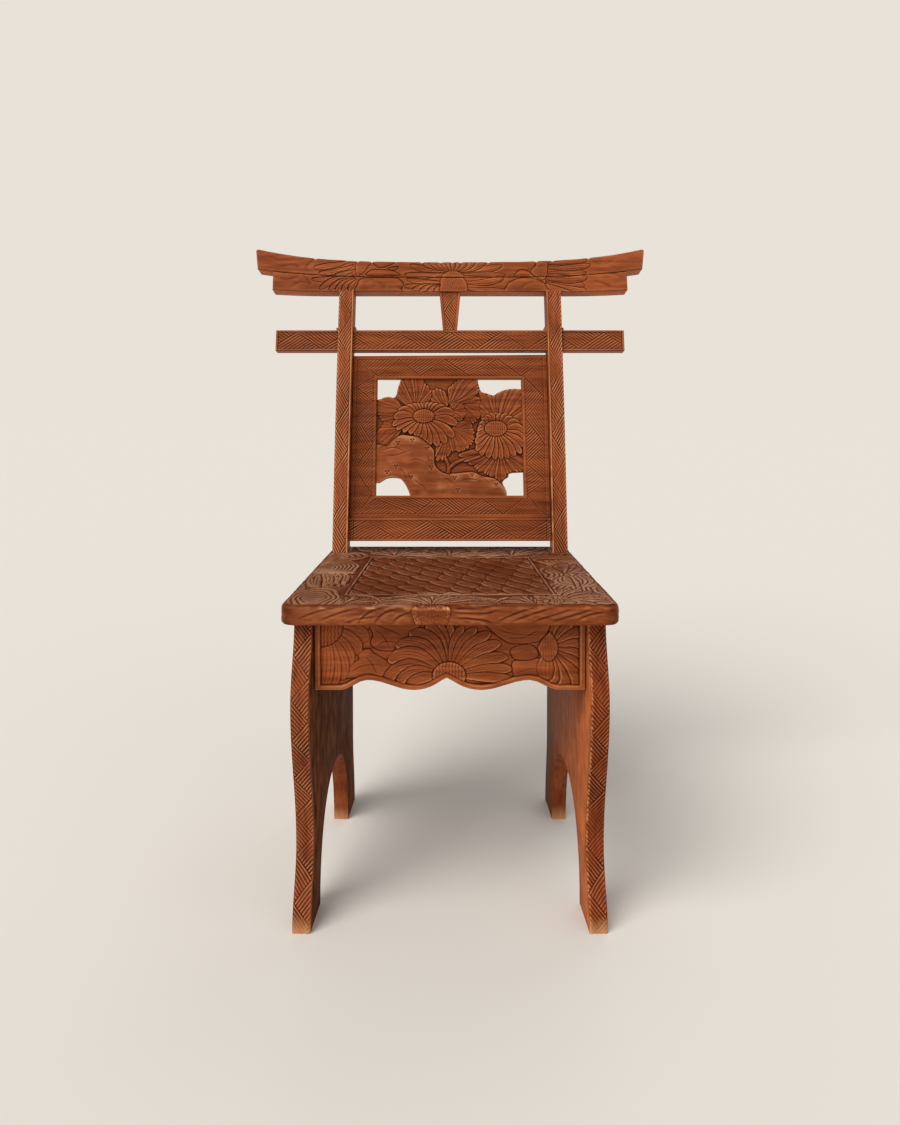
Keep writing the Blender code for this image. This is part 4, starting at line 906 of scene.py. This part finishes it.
def make_panel():
    opening = (FRAME_WIDTH / 2 - FRAME_STILE, (FRAME_HEIGHT - FRAME_TOP - FRAME_BOTTOM) / 2)
    half_w, half_h, grid = opening[0] + 4.6, opening[1] + 1.0, 0.78
    x, z = face(steps(-half_w, half_w, grid), steps(-half_h, half_h, grid))
    c = Carving(x, z, -3.9)
    c.stipple(2.6, 0.5, 2)
    for origin, rim, ribs, level, rise in PANEL_LEAVES:
        c.fan(origin, rim, round(ribs * 1.45), level - 0.3, rise * 1.1, sway=0.4, scallop=0.09)
    for centre, radii, tips in PANEL_FLOWERS:
        c.daisy(centre, radii, tips, level=-1.9, rise=3.0, beads=3.7, veins=1, cap_rise=2.3, droop=4.5,
                hollow=0.3, line=0.5)
    worn = np.zeros(x.shape)
    for path in PANEL_TWIG:
        far = c.rod(path, radius=2.8, level=-3.0, rise=1.6, soft=0.6)
        worn = np.minimum(worn, -0.16 * (far < 3))
    far = c.form(PANEL_ROCK, level=-2.4, rise=2.9, shoulder=10, uneven=1.3, seed=6)
    mottled = 0.24 * (1 + 0.45 * ripple(x, z * 1.6, 19, 21)) - 0.22 * unit(1 - far / 5)
    worn = np.where(far > 0, mottled, worn)
    for path in PANEL_GOUGES:
        c.groove(path, width=1.7, depth=1.0)
    for px, pz in PANEL_PUNCHES:
        for dx, dz in PANEL_PUNCH_DOTS:
            c.cut(np.hypot(x - px - dx, z - pz - dz), width=2.1, depth=2.4)

    outlines = [smooth_line(np.array(points) * opening, 4, True) for points in PANEL_OPENINGS]
    gap = np.max([inside_distance(x, z, outline) for outline in outlines], 0)
    open_point = gap > 0
    keep = ~np.logical_and.reduce([open_point[corner] for corner in CELL_CORNERS])
    c.h = c.h - soften(np.maximum(-gap, 0), 1.3)
    shown = np.zeros(x.shape, bool)
    for corner in CELL_CORNERS:
        shown[corner] |= keep
    stray = shown & open_point
    c.x, c.z = x.copy(), z.copy()
    c.x[stray], c.z[stray] = nearest(x[stray], z[stray], outlines)
    place = placed(FRAME_PLACE @ move(0, -PANEL_THICK / 2, (FRAME_BOTTOM - FRAME_TOP) / 2))
    carved("carved_panel_relief", "carved_panel", place, c, PANEL_THICK, PANEL_WOOD, grid, keep, bevel=0.0,
           wear_and_painted_light=worn)


def nearest(x, z, outlines):
    """Nearest points of closed outlines."""
    best = np.full(x.shape, 1e9)
    near_x, near_z = x.copy(), z.copy()
    for outline in outlines:
        for (ax, az), (bx, bz) in zip(outline, np.roll(outline, -1, 0)):
            size = max((bx - ax) ** 2 + (bz - az) ** 2, 1e-9)
            t = unit(((x - ax) * (bx - ax) + (z - az) * (bz - az)) / size)
            px, pz = ax + t * (bx - ax), az + t * (bz - az)
            far = np.hypot(x - px, z - pz)
            near_x, near_z = np.where(far < best, px, near_x), np.where(far < best, pz, near_z)
            best = np.minimum(best, far)
    return near_x, near_z


# Apron

APRON_PETALS = (
    # tip, width, bend
    ((0, 374), 15, -0), ((-13, 375), 16, -1.4), ((-28, 375), 19, -4.2), ((15, 372), 15, 2.8), ((-49, 366),
    26, -8.4), ((32, 370), 16, 4.2), ((50, 364), 17, 5.6), ((-67, 350), 26, -11.2), ((63, 351), 17, 5.6),
    ((-77, 331), 27, -11.2), ((72, 334), 16, 4.2), ((77, 318), 15, 2.8), ((78, 305), 13, 1.4), ((-84, 305),
    25, -12.6), ((-70, 298), 19, -11.2), ((-57, 294), 16, -7))
APRON_LEAVES = (
    ((-99, 378), (-96, 361), (-99, 350), (-91, 342), (-72, 340), (-66, 347), (-58, 355), (-42, 365),
    (-40, 378)), ((-132, 307), (-129, 321), (-114, 329), (-115, 336), (-110, 341), (-100, 343), (-95, 338),
    (-77, 327), (-71, 322), (-77, 312), (-83, 303), (-103, 306), (-121, 306)), ((46, 378), (54, 363),
    (66, 354), (77, 349), (101, 350), (114, 354), (122, 364), (122, 378)), ((77, 323), (84, 329),
    (110, 331), (118, 323), (119, 314), (116, 303), (101, 306), (82, 304)), ((75, 341), (84, 347),
    (100, 348), (108, 342), (110, 334), (101, 329), (82, 329), (76, 335)))
APRON_VEINS = (
    ((-97, 370), (-84, 360), (-74, 344)), ((-94, 374), (-72, 366), (-58, 358)), ((-90, 346), (-82, 352),
    (-66, 352)), ((-126, 312), (-108, 322), (-84, 324)), ((-108, 335), (-98, 326), (-90, 310)),
    ((-120, 310), (-100, 312), (-86, 306)), ((54, 370), (80, 362), (116, 360)), ((70, 356), (92, 358),
    (112, 368)), ((80, 336), (94, 340), (106, 338)), ((82, 312), (98, 318), (114, 318)), ((84, 308),
    (100, 309), (112, 310)))
APRON_LEFT_TIPS = ((-100, 372), (-101, 356), (-111, 338), (-124, 321), (-133, 304), (-147, 294), (-160, 291))
APRON_RIGHT_TIPS = (
    (134, 376), (150, 375), (164, 367), (167, 350), (167, 334), (167, 318), (165, 301), (147, 292),
    (130, 298), (120, 303))
APRON_RIGHT_CAP = (
    (123, 364), (129, 358), (134, 349), (133, 336), (124, 327), (116, 330), (111, 339), (110, 347))
APRON_MIDDLE = (-1, 309)


def slab_inner(y):
    angle = math.radians(SLAB_TOE_IN)
    return SLAB_SPREAD / math.cos(angle) - y * math.tan(angle)


def make_apron():
    top, base = SLAB_HEIGHT, SLAB_HEIGHT - APRON_HEIGHT
    half = slab_inner(APRON_FRONT + APRON_THICK) - FIT
    x, v = face(steps(-half, half, 0.78), np.linspace(0, 1, 128))
    from_cusp = x - APRON_CUSP
    share = np.where(from_cusp < 0, -from_cusp / (half + APRON_CUSP), from_cusp / (half - APRON_CUSP))
    low = base + np.interp(share, *np.array(APRON_EDGE).T) * APRON_HEIGHT
    z = low + (top - low) * v
    above, inward = (z - low) / np.hypot(1, np.gradient(low[0], x[0])), half - np.abs(x)
    c = Carving(x, z, -2.9)
    c.h = c.h + 0.9 * ripple(x, z * 1.3, 22, 3)
    for outline in APRON_LEAVES:
        c.form(outline, level=-3.3, rise=2.7, shoulder=15, uneven=0.6, seed=7)
    for path in APRON_VEINS:
        c.groove(path, width=1.5, depth=0.8)
    for tip in APRON_LEFT_TIPS:
        c.petal((-157, 369), tip, 27, level=-3.6, rise=2.6, bend=3, veins=4, tilt=0.9)
    for tip in APRON_RIGHT_TIPS:
        c.petal((124, 342), tip, 23, level=-3.6, rise=2.6, bend=-3, veins=3, tilt=-0.9)
    mx, mz = APRON_MIDDLE
    for tip, width, bend in APRON_PETALS:
        start = (mx + 0.10 * (tip[0] - mx), mz + 0.14 * (tip[1] - mz))
        c.petal(start, tip, width, level=-3.0, rise=3.2, bend=bend, veins=6 if tip[0] < -20 else 5,
                tilt=1.0 if tip[0] < 0 else -0.8, hollow=0.4)
    c.cap((-161, 373), (29, 28), level=-2.4, rise=1.6, pitch=4.4, rows=9.0)
    far = c.form(APRON_RIGHT_CAP, level=-2.2, rise=2.0, shoulder=8)
    c.h = c.h - 0.7 * (far > 1.0) * (1 - np.abs(np.sin(np.pi * (x + 0.06 * (z - 344)) / 3.4)) ** 0.7)
    c.cap(APRON_MIDDLE, (21, 18), level=-1.0, rise=2.0, pitch=4.0, rows=1.5)
    rim = np.minimum(above - 6.5, inward - 8.0)
    c.lay(0.4 - rim / 0.6, -0.9 + 0.9 * dome((rim + 3.2) / 3.6))
    c.cut(rim, width=1.6, depth=1.0)
    c.h = c.h - soften(np.minimum(above, inward), 1.6)
    place = placed(move(0, APRON_FRONT, 0))
    carved("front_apron_carved", "front_apron", place, c, APRON_THICK, APRON_WOOD, 0.75,
           wear_and_painted_light=0.04 + 0.05 * ease((x - 60) / 40))


# Side slabs

SLAB_EDGE = 3.0
SLAB_FLOWERS = (
    # centre, cap radius, petal reach, petals
    ((188, 262), 13, 62, 24), ((62, 150), 8, 36, 18), ((292, 190), 9, 40, 19), ((92, 318), 9, 42, 20),
    ((283, 330), 8, 38, 18))
SLAB_LEAVES = (
    # origin, direction in degrees, length, ribs
    ((140, 205), 225, 66, 7), ((245, 215), 300, 60, 7), ((130, 290), 170, 58, 6), ((250, 300), 20, 62, 7),
    ((190, 330), 80, 44, 6), ((40, 100), 260, 60, 6), ((300, 120), 275, 62, 6), ((60, 230), 100, 46, 6),
    ((310, 260), 60, 44, 6), ((60, 55), 250, 44, 5), ((302, 60), 285, 44, 5))
SLAB_LEAF_RIM = (0.62, 0.80, 0.93, 1.0, 0.93, 0.80, 0.62)
SLAB_STEMS = (
    ((188, 200), (150, 178), (105, 172), (62, 150)), ((188, 200), (228, 190), (262, 197), (292, 190)),
    ((140, 300), (118, 322), (92, 318)), ((236, 300), (262, 322), (283, 330)), ((62, 150), (44, 110),
    (40, 62), (46, 18)), ((292, 190), (307, 140), (306, 90), (303, 24)))
ARCH_START, ARCH_STOP = FRONT_FOOT, SLAB_DEPTH - REAR_FOOT
ARCH_MIDDLE, ARCH_HALF = (ARCH_START + ARCH_STOP) / 2, (ARCH_STOP - ARCH_START) / 2


def slab_place(side):
    hinge = move(side * SLAB_SPREAD, 0, 0) @ turn(side * SLAB_TOE_IN, "Z")
    return placed(hinge @ move(side * SLAB_THICK / 2, 0, 0))


def slab_sides(z):
    """Front and rear lines of a slab at a height."""
    share = np.asarray(z, float) / SLAB_HEIGHT
    return blend(SLAB_FRONT, share), SLAB_DEPTH + blend(SLAB_REAR, share)


def slab_grid():
    """Face points of a slab with its arch, behind the front edge strip."""
    angle = np.linspace(np.pi, 0, 96)
    across, up = np.cos(angle), np.sin(angle)
    arch_y = ARCH_MIDDLE + ARCH_HALF * np.sign(across) * np.abs(across) ** (2 / ARCH_POWER)
    arch_z = ARCH_HEIGHT * np.abs(up) ** (2 / ARCH_POWER)
    before, after = steps(SLAB_EDGE, ARCH_START, 1.9)[:-1], steps(ARCH_STOP, SLAB_DEPTH, 1.9)[1:]
    base_y = np.concatenate([before, arch_y, after])
    base_z = np.concatenate([0 * before, arch_z, 0 * after])
    front, rear = slab_sides(base_z)
    share = (base_y - front - SLAB_EDGE) / (rear - front - SLAB_EDGE)
    z = base_z + (SLAB_HEIGHT - base_z) * np.linspace(0, 1, 236)[:, None]
    front, rear = slab_sides(z)
    return front + SLAB_EDGE + share * (rear - front - SLAB_EDGE), z


def slab_relief(y, z):
    """Low flower relief for the outer face."""
    front, rear = slab_sides(z)
    along = np.maximum(np.abs(y - ARCH_MIDDLE) / ARCH_HALF, 1e-6)
    round_arch = (along ** ARCH_POWER + (z / ARCH_HEIGHT) ** ARCH_POWER) ** (1 / ARCH_POWER)
    edge = np.minimum(np.minimum(y - front, rear - y),
                      np.minimum(SLAB_HEIGHT - z, (round_arch - 1) * ARCH_HEIGHT * 0.8))
    edge = np.minimum(edge, z + 4)
    c = Carving(y, z, -2.6)
    c.stipple(5.0, 0.5, 4)
    for path in SLAB_STEMS:
        c.rod(path, radius=2.6, level=-2.9, rise=1.9, soft=0.9)
    for (oy, oz), direction, length, ribs in SLAB_LEAVES:
        spread = np.radians(direction + np.linspace(-42, 42, len(SLAB_LEAF_RIM)))
        reach = length * np.array(SLAB_LEAF_RIM)
        rim = [(oy + r * math.cos(a), oz + r * math.sin(a)) for a, r in zip(spread, reach)]
        c.fan((oy, oz), rim, ribs, level=-2.2, rise=1.8, sway=0.15)
    for (cy, cz), cap, reach, petals in SLAB_FLOWERS:
        tips = []
        for n in range(petals):
            angle = 2 * math.pi * (n + 0.5) / petals
            far = reach * (0.93 + 0.07 * math.sin(5.1 * n))
            tips.append((cy + far * math.cos(angle), cz + far * math.sin(angle)))
        c.daisy((cy, cz), (cap, cap), tips, level=-1.6, rise=1.6, beads=3.6, veins=1, cap_rise=1.0)
    rim = edge - 9.0
    c.lay(0.4 - rim / 1.0, -0.2)
    c.cut(rim, width=1.9, depth=0.9)
    c.h = c.h - soften(np.maximum(edge, 0), 1.2) * (z > 1.0)
    c.h = np.minimum(c.h, 0)
    return c


def make_slabs():
    half = SLAB_THICK / 2
    relief = slab_relief(*slab_grid())
    x, z = face(steps(-half, half, 0.56), steps(0, SLAB_HEIGHT, 0.6))
    for side, word in SIDES:
        left = side < 0
        base, node = slab_place(side), "side_slab_" + word

        def outer(across, deep, up, base=base, side=side):
            return base(side * (half - deep), across, up)

        def front(across, deep, up, base=base):
            return base(across, slab_sides(up)[0] + deep, up)

        # The raised wall tone (rim 0.6) is painted light that makes the shaded arch walls paler.
        carved("side_slab_relief_" + word, node, outer, relief, SLAB_THICK, SLAB_WOOD, 1.6,
               behind=INNER_LEFT_SHADED if left else INNER_RIGHT_LIT, rim=0.6)
        c = strip(x, z, half, ENDLESS, arris=1.0)
        knots, first = zigzag(0, SLAB_HEIGHT, 25.5, start=8.0 if left else 19.0)
        reeds(c, z, x, 10.6, knots, first, lean=1, pitch=3.7, depth=1.5, fade=0.6 + 0.4 * ease((z - 4) / 20),
              towards=-1)
        inner = 0.3 * unit(1 - (half - x) / 1.5) if left else unit(1.3 - (half + x) / 2.2)
        carved("side_slab_edge_" + word, node, front, c, SLAB_EDGE, SLAB_WOOD if left else SLAB_DARK_WOOD,
               0.58, bevel=0.05, wear_and_painted_light=0.6 * inner * (0.75 + 0.6 * ripple(x * 0, z, 3.4, 7)))


# Seat

SEAT_ROUND, SEAT_LOW_ROUND, SEAT_REAR_ROUND = 7.0, 5.0, 2.0
SEAT_GROUND = -2.6
SEAT_FIELD = ((-135, 36), (135, 38), (126.5, 303), (-126.5, 306))
SEAT_LEAF_WIDTH, SEAT_LEAF_LENGTH, SEAT_LEAF_STEP, SEAT_LEAF_PITCH = 31.0, 64.0, 25.0, 44.0
SEAT_LEAF_LEAN, SEAT_LEAF_MIDDLE = 0.62, 171.0
SEAT_SHELLS = (
    # centre, radii, ribs, share of the smooth middle
    ((2, 424), (176, 118), 11, 0.20), ((206, 292), (80, 74), 8, 0.20), ((208, 176), (78, 84), 8, 0.20),
    ((206, 62), (84, 76), 9, 0.20), ((-24, -40), (128, 76), 9, 0.30), ((96, -36), (54, 72), 7, 0.25),
    ((-118, -36), (48, 72), 7, 0.25), ((-196, 309), (70, 40), 4, 0.40), ((-194, 214), (60, 72), 6, 0.36))
SEAT_FRONT_SHELL = ((-170, 18), (33, 61), 3, 0.42)
SEAT_CRESCENTS = (
    ((-153, 170), (-146, 169), (-140, 153), (-139, 126), (-141, 96), (-144, 90), (-150, 121), (-152, 150)),
    ((-164, 170), (-156, 169), (-150, 150), (-150, 121), (-153, 103), (-161, 96), (-164, 126)),
    ((-184, 170), (-173, 173), (-165, 159), (-160, 136), (-159, 112), (-165, 100), (-171, 94), (-177, 131)),
    ((-200, 112), (-192, 92), (-188, 72), (-192, 60), (-198, 54), (-203, 56), (-203, 85)), ((-199, 169),
    (-188, 170), (-179, 146), (-176, 119), (-172, 89), (-180, 86), (-191, 96), (-199, 131)))
SEAT_RIDGE = ((-206, 174), (-183, 176), (-169, 178), (-154, 178), (-140, 175))
SEAT_EYES = ((-175, 121), (-169, 91), (-187, 80), (-158, 157), (-155, 103), (-144, 99), (-190, 145))
SEAT_FANS = (
    # origin, outer edge, ribs
    ((162, 168), ((203, 172), (204, 192), (203, 214), (197, 236), (184, 250), (168, 252), (152, 244),
    (142, 226), (138, 204), (141, 184)), 8), ((196, 276), ((131, 268), (127, 302), (136, 326), (156, 334),
    (176, 328), (195, 324)), 8), ((-130, -14), ((-136, 32), (-118, 34), (-102, 28), (-92, 14), (-90, -4),
    (-92, -14)), 6), ((104, -14), ((60, -14), (60, 2), (66, 18), (78, 30), (94, 34), (108, 32)), 6),
    ((-90, 310), ((-132, 338), (-124, 364), (-104, 382), (-80, 389), (-58, 382), (-46, 362), (-44, 338)),
    10), ((-2, 310), ((-42, 340), (-32, 372), (-8, 388), (18, 384), (34, 364), (39, 338)), 7), ((98, 310),
    ((41, 342), (50, 368), (74, 386), (104, 390), (132, 383), (150, 362), (152, 338)), 11))
SEAT_FORMS = (
    ((166, 84), (150, 94), (142, 112), (143, 134), (152, 152), (165, 160), (169, 140), (168, 110)),
    ((173, 82), (190, 84), (203, 96), (206, 122), (202, 146), (190, 162), (175, 160), (174, 136),
    (175, 108)))
SEAT_VEINS = (
    ((164, 92), (154, 116), (158, 148)), ((160, 92), (149, 112), (149, 136)), ((178, 90), (188, 116),
    (184, 152)), ((184, 90), (197, 114), (195, 146)), ((178, 100), (182, 126), (178, 154)))
SEAT_FLOWERS = (
    # centre, cap radii, petal tips
    ((131, 4), (9, 10), ((140, 32), (147, 74), (158, 80), (171, 74), (182, 60), (190, 41), (195, 21),
    (197, 1), (178, -12), (150, -13), (122, -12), (112, 4), (115, 24), (127, 34))), ((-22, -14), (13, 9),
    ((-88, -9), (-84, 6), (-72, 17), (-56, 25), (-39, 30), (-22, 32), (-7, 31), (9, 28), (24, 22), (38, 14),
    (50, 4), (57, -9))))
SEAT_EDGE_WAVES = (
    ((-70, -1), (-96, -9), (-112, -23)), ((-54, -4), (-78, -10), (-92, -23)), ((-104, -3), (-132, -10),
    (-160, -21)), ((-134, -3), (-160, -9), (-184, -18)), ((-46, -10), (-58, -13), (-70, -22)), ((-84, -14),
    (-112, -18), (-130, -24)), ((2, -5), (36, -4), (56, -1)), ((2, -10), (42, -11), (60, -6)), ((54, -22),
    (76, -12), (104, -3)), ((70, -22), (98, -12), (128, -3)), ((96, -22), (124, -13), (152, -4)),
    ((122, -21), (148, -13), (172, -6)), ((2, -16), (34, -18), (56, -23)), ((150, -19), (170, -12),
    (188, -9)))
SEAT_EDGE_BLOCK = ((-43, -2), (-43, -20), (-38, -24.5), (-8, -24.5), (-2, -20), (-2, -2))
POST_FOOT_X, POST_FOOT_HALF, POST_FOOT_Y = 179.5, 12.5, 332.0


def make_seat():
    inset = SEAT_ROUND
    corner = SEAT_CORNER - inset
    front, rear = -SEAT_NOSE + inset, SEAT_DEPTH - SEAT_NOSE - SEAT_REAR_ROUND
    bend = corner / (rear - front)
    rows = np.concatenate([np.linspace(0, bend, 8)[:-1], np.linspace(bend, 1, 212)])
    u, v = face(np.linspace(-1, 1, 312), rows)
    y = front + (rear - front) * v
    wide = (SEAT_WIDTH - SEAT_TAPER * (y + SEAT_NOSE) / SEAT_DEPTH) / 2 - inset
    short = np.clip(corner - (y - front), 0, corner)
    x = u * (wide - corner + np.sqrt(np.maximum(corner ** 2 - short ** 2, 0)))
    c = Carving(x, y, SEAT_GROUND)
    c.h = c.h + 0.5 * ripple(x, y, 26, 2)
    for shape in SEAT_SHELLS:
        c.shell(*shape, level=-3.0, rise=2.8)
    for shape in SEAT_FANS:
        c.fan(*shape, level=-3.0, rise=3.0, sway=0.3)
    for outline in SEAT_FORMS:
        c.form(outline, level=-2.9, rise=2.8, shoulder=14, uneven=0.5, seed=5)
    for path in SEAT_VEINS:
        c.groove(path, width=1.8, depth=1.1)
    for outline in SEAT_CRESCENTS:
        far = c.form(outline, level=-3.6, rise=3.4, shoulder=7, uneven=0.3, seed=5)
        for inside in (6, 10.5):
            c.cut(far - inside, width=1.6, depth=1.0)
    for ex, ey in SEAT_EYES:
        c.cut(np.hypot(x - ex, (y - ey) * 0.4), width=4.5, depth=3.4)
    c.rod(SEAT_RIDGE, radius=4.5, level=-1.8, rise=1.7, soft=0.8, cover=0.0)
    c.shell(*SEAT_FRONT_SHELL, level=-3.0, rise=3.0)
    for shape in SEAT_FLOWERS:
        c.daisy(*shape, level=-2.9, rise=2.9, beads=3.6, cap_rise=1.0, widest=24.0)
    field = inside_distance(x, y, SEAT_FIELD)
    c.lay(field / 0.8 + 0.5, seat_leaves(x, y))
    beside, ahead = np.abs(np.abs(x) - POST_FOOT_X) - POST_FOOT_HALF, POST_FOOT_Y - y
    c.h = c.h * ease(np.hypot(np.clip(beside, 0, 99), np.clip(ahead, 0, 99)) / 6)
    bead = np.abs(field - 2.5)
    c.lay((3.6 - bead) / 0.8, -2.7 + 2.0 * dome(bead / 1.9))
    c.h = np.minimum(c.h + 0.2 * ripple(x, y, 8, 5), 0.0)
    edge = np.minimum(y - front, wide - np.abs(x))
    c.h = (-0.8 + (c.h + 0.8) * ease(0.6 + edge / 9)) * ease((rear - y) / 6)

    border = ease(-field / 12)
    # Painted sheen: the borders, the left one most, are lifted towards the seat's pale grey-brown, less
    # towards the rear where the back post shades them; on the ridges this also stands for wear.
    painted_side_sheen = 0.22 * ease((-x - 130) / 40) * (1 - 0.6 * ease((y - 185) / 110)) + 0.02 * ease((x - 120) / 25)
    wear_and_painted_light = (0.10 + painted_side_sheen) * border * (1 + 0.4 * ripple(x, y, 30, 12)) - 0.01
    # Painted shadow: darker towards the rear edge, under the back.
    wear_and_painted_light = wear_and_painted_light - 0.20 * ease((y - 318) / 40)
    place = placed(Matrix(((1, 0, 0, 0), (0, 0, 1, 0), (0, -1, 0, SEAT_HEIGHT), (0, 0, 0, 1))))
    carved("seat_board_carved", "seat_board", place, c, SEAT_THICK, SEAT_WOOD, 1.5, wall=seat_wall,
           side=EDGE_WOOD, wear_and_painted_light=wear_and_painted_light, gain=0.7 + 0.7 * border, over=3)


def seat_leaves(x, y):
    """Overlapping slanted leaves of the seat's field, laid from the front to the rear."""
    c = Carving(x, y, SEAT_GROUND)
    sine, cosine = math.sin(SEAT_LEAF_LEAN), math.cos(SEAT_LEAF_LEAN)
    spots = []
    for row in range(-9, 10):
        for number in range(-6, 7):
            along, across = SEAT_LEAF_PITCH * (number + 0.5 * (row % 2)), SEAT_LEAF_STEP * row
            mid_y = SEAT_LEAF_MIDDLE - along * cosine + across * sine
            spots.append((mid_y, along * sine + across * cosine, row, number))
    for mid_y, mid_x, row, number in sorted(spots):
        if abs(mid_x) > 150 or abs(mid_y - SEAT_LEAF_MIDDLE) > 165:
            continue
        lean = SEAT_LEAF_LEAN + 0.3 * (dice(row, number, 3) - 0.5)
        dx, dy = SEAT_LEAF_LENGTH / 2 * math.sin(lean), -SEAT_LEAF_LENGTH / 2 * math.cos(lean)
        c.petal((mid_x - dx, mid_y - dy), (mid_x + dx, mid_y + dy), SEAT_LEAF_WIDTH, level=-3.1, rise=2.9,
                bend=3.0, veins=3, point=1.4, foot=0.05, line=0.15)
    return c.h + 0.2 * ripple(x, y, 15, 8)


def seat_wall(lx, lz, lh, nx, nz):
    """Rings of the seat's rounded edge, with the front edge carved."""
    turns, low_turns = np.radians((18, 36, 54, 72, 90)), np.radians((30, 60, 90))
    low = SEAT_THICK - SEAT_LOW_ROUND
    level = np.linspace(SEAT_ROUND, low, 16)[1:]
    straight = np.full(len(level), SEAT_ROUND)
    reach = np.concatenate([SEAT_ROUND * np.sin(turns), straight,
                            SEAT_ROUND - SEAT_LOW_ROUND * (1 - np.cos(low_turns))])[:, None]
    deep = np.concatenate([SEAT_ROUND * (1 - np.cos(turns)), level,
                           low + SEAT_LOW_ROUND * np.sin(low_turns)])[:, None]
    share = np.zeros(deep.shape)
    share[:len(turns), 0] = 1 - turns / (math.pi / 2)
    tight = 1 - (1 - SEAT_REAR_ROUND / SEAT_ROUND) * unit(nz) ** 2
    reach = reach * tight
    deep = np.vstack([deep[:len(turns)] * tight, deep[len(turns):] + 0 * tight])
    c = Carving(lx + 0 * deep, -deep + 0 * lx, -1.2)
    c.h = c.h + 0.5 * ripple(c.x, c.z * 2, 20, 6)
    for path in SEAT_EDGE_WAVES:
        c.groove(path, width=1.9, depth=0.9)
    far = c.form(SEAT_EDGE_BLOCK, level=-1.3, rise=1.1, shoulder=6)
    c.stipple(2.4, 0.5, 5, far > 1.2)
    facing = unit(-nz * 2 - 0.6)
    fade = unit(deep / 3) * unit((SEAT_THICK - deep) / 4)
    dents = 0.6 * ripple(lx, lz, 17, 4) - 0.6 + 0.3 * ripple(lx + lz, c.z * 3, 7, 2)
    out = reach + (c.h * facing + dents * (1 - 0.5 * facing)) * fade
    # Pale spots along the front arris: a painted highlight, broken up so that it also stands for worn nicks.
    arris = unit(1 - np.abs(deep - 4.0) / 2.6) * np.clip(0.25 + 1.4 * ripple(lx + lz, 0 * lx, 8, 3), 0, 1.3)
    tone = hollows(c.h * facing + 0.5 * dents, 1.0, gain=0.7) + 0.20 * arris
    tone = tone + (0.06 - 0.05 * np.clip(lx / 60, -1, 1)) * facing - 0.13 * ease(far / 2) * facing
    return list(zip(out, deep - lh * share, tone))


# Floor, light and camera

LAMPS = (
    # name, place, power, spread in degrees, colour
    ("key", (-0.60, -0.66, 0.86), 2.6, 44, (1.0, 0.97, 0.92)),
    ("fill", (0.85, -0.75, 0.45), 0.35, 60, (1.0, 0.98, 0.96)),
    ("back", (0.25, 0.90, 0.75), 0.5, 60, (1.0, 0.98, 0.96)))


def make_stage():
    bpy.ops.mesh.primitive_circle_add(vertices=96, radius=60.0, fill_type="NGON", location=(0, 0, 0))
    floor = bpy.context.object
    floor.name = "floor"
    material = bpy.data.materials.new("pale_floor")
    material.use_nodes = True
    shader = material.node_tree.nodes["Principled BSDF"]
    shader.inputs["Base Color"].default_value = linear(218, 215, 210)
    shader.inputs["Roughness"].default_value = 1.0
    shader.inputs["Specular IOR Level"].default_value = 0.0
    floor.data.materials.append(material)

    world = bpy.data.worlds.new("studio")
    bpy.context.scene.world = world
    world.use_nodes = True
    nodes, links = world.node_tree.nodes, world.node_tree.links
    lit, seen = nodes["Background"], nodes.new("ShaderNodeBackground")
    lit.inputs["Color"].default_value = (1.0, 0.97, 0.93, 1.0)
    lit.inputs["Strength"].default_value = 0.44
    seen.inputs["Color"].default_value = linear(232, 226, 217)
    seen.inputs["Strength"].default_value = 1.0
    path, either = nodes.new("ShaderNodeLightPath"), nodes.new("ShaderNodeMath")
    either.operation = "MAXIMUM"
    links.new(path.outputs["Is Camera Ray"], either.inputs[0])
    links.new(path.outputs["Is Transmission Ray"], either.inputs[1])
    choose = nodes.new("ShaderNodeMixShader")
    links.new(either.outputs["Value"], choose.inputs["Fac"])
    links.new(lit.outputs["Background"], choose.inputs[1])
    links.new(seen.outputs["Background"], choose.inputs[2])
    links.new(choose.outputs["Shader"], nodes["World Output"].inputs["Surface"])

    for name, place, power, spread, colour in LAMPS:
        lamp = bpy.data.lights.new(name, "SUN")
        lamp.energy, lamp.angle, lamp.color = power, math.radians(spread), colour
        holder = bpy.data.objects.new(name, lamp)
        aim = (-Vector(place)).to_track_quat("-Z", "Y").to_matrix().to_4x4()
        holder.matrix_world = Matrix.Translation(place) @ aim
        bpy.context.scene.collection.objects.link(holder)


def make_camera():
    camera = bpy.data.cameras.new("camera")
    camera.lens, camera.sensor_width = 25.98, 36.0
    camera.shift_y = -0.1356
    camera.clip_start = 0.05
    holder = bpy.data.objects.new("camera", camera)
    holder.location = (0.0, -1.1984, 0.640)
    holder.rotation_euler = (math.radians(90), 0, 0)
    bpy.context.scene.collection.objects.link(holder)
    bpy.context.scene.camera = holder


def dress_nodes():
    """Wood on the solids that show as they are."""
    for name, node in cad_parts.items():
        hidden = any(word in name for word in ("wedge", "spline", "tongue", "dowel"))
        node.data.materials.clear()
        node.data.materials.append(BARE_WOOD if hidden else UNDER_WOOD)


make_camera()
make_stage()
dress_nodes()
make_posts()
make_tie_beam()
make_strut()
make_lower_rail()
make_frame()
make_lintels()
make_panel()
make_apron()
make_slabs()
make_seat()

bpy.context.scene.view_settings.view_transform = "Standard"
bpy.context.view_layer.update()
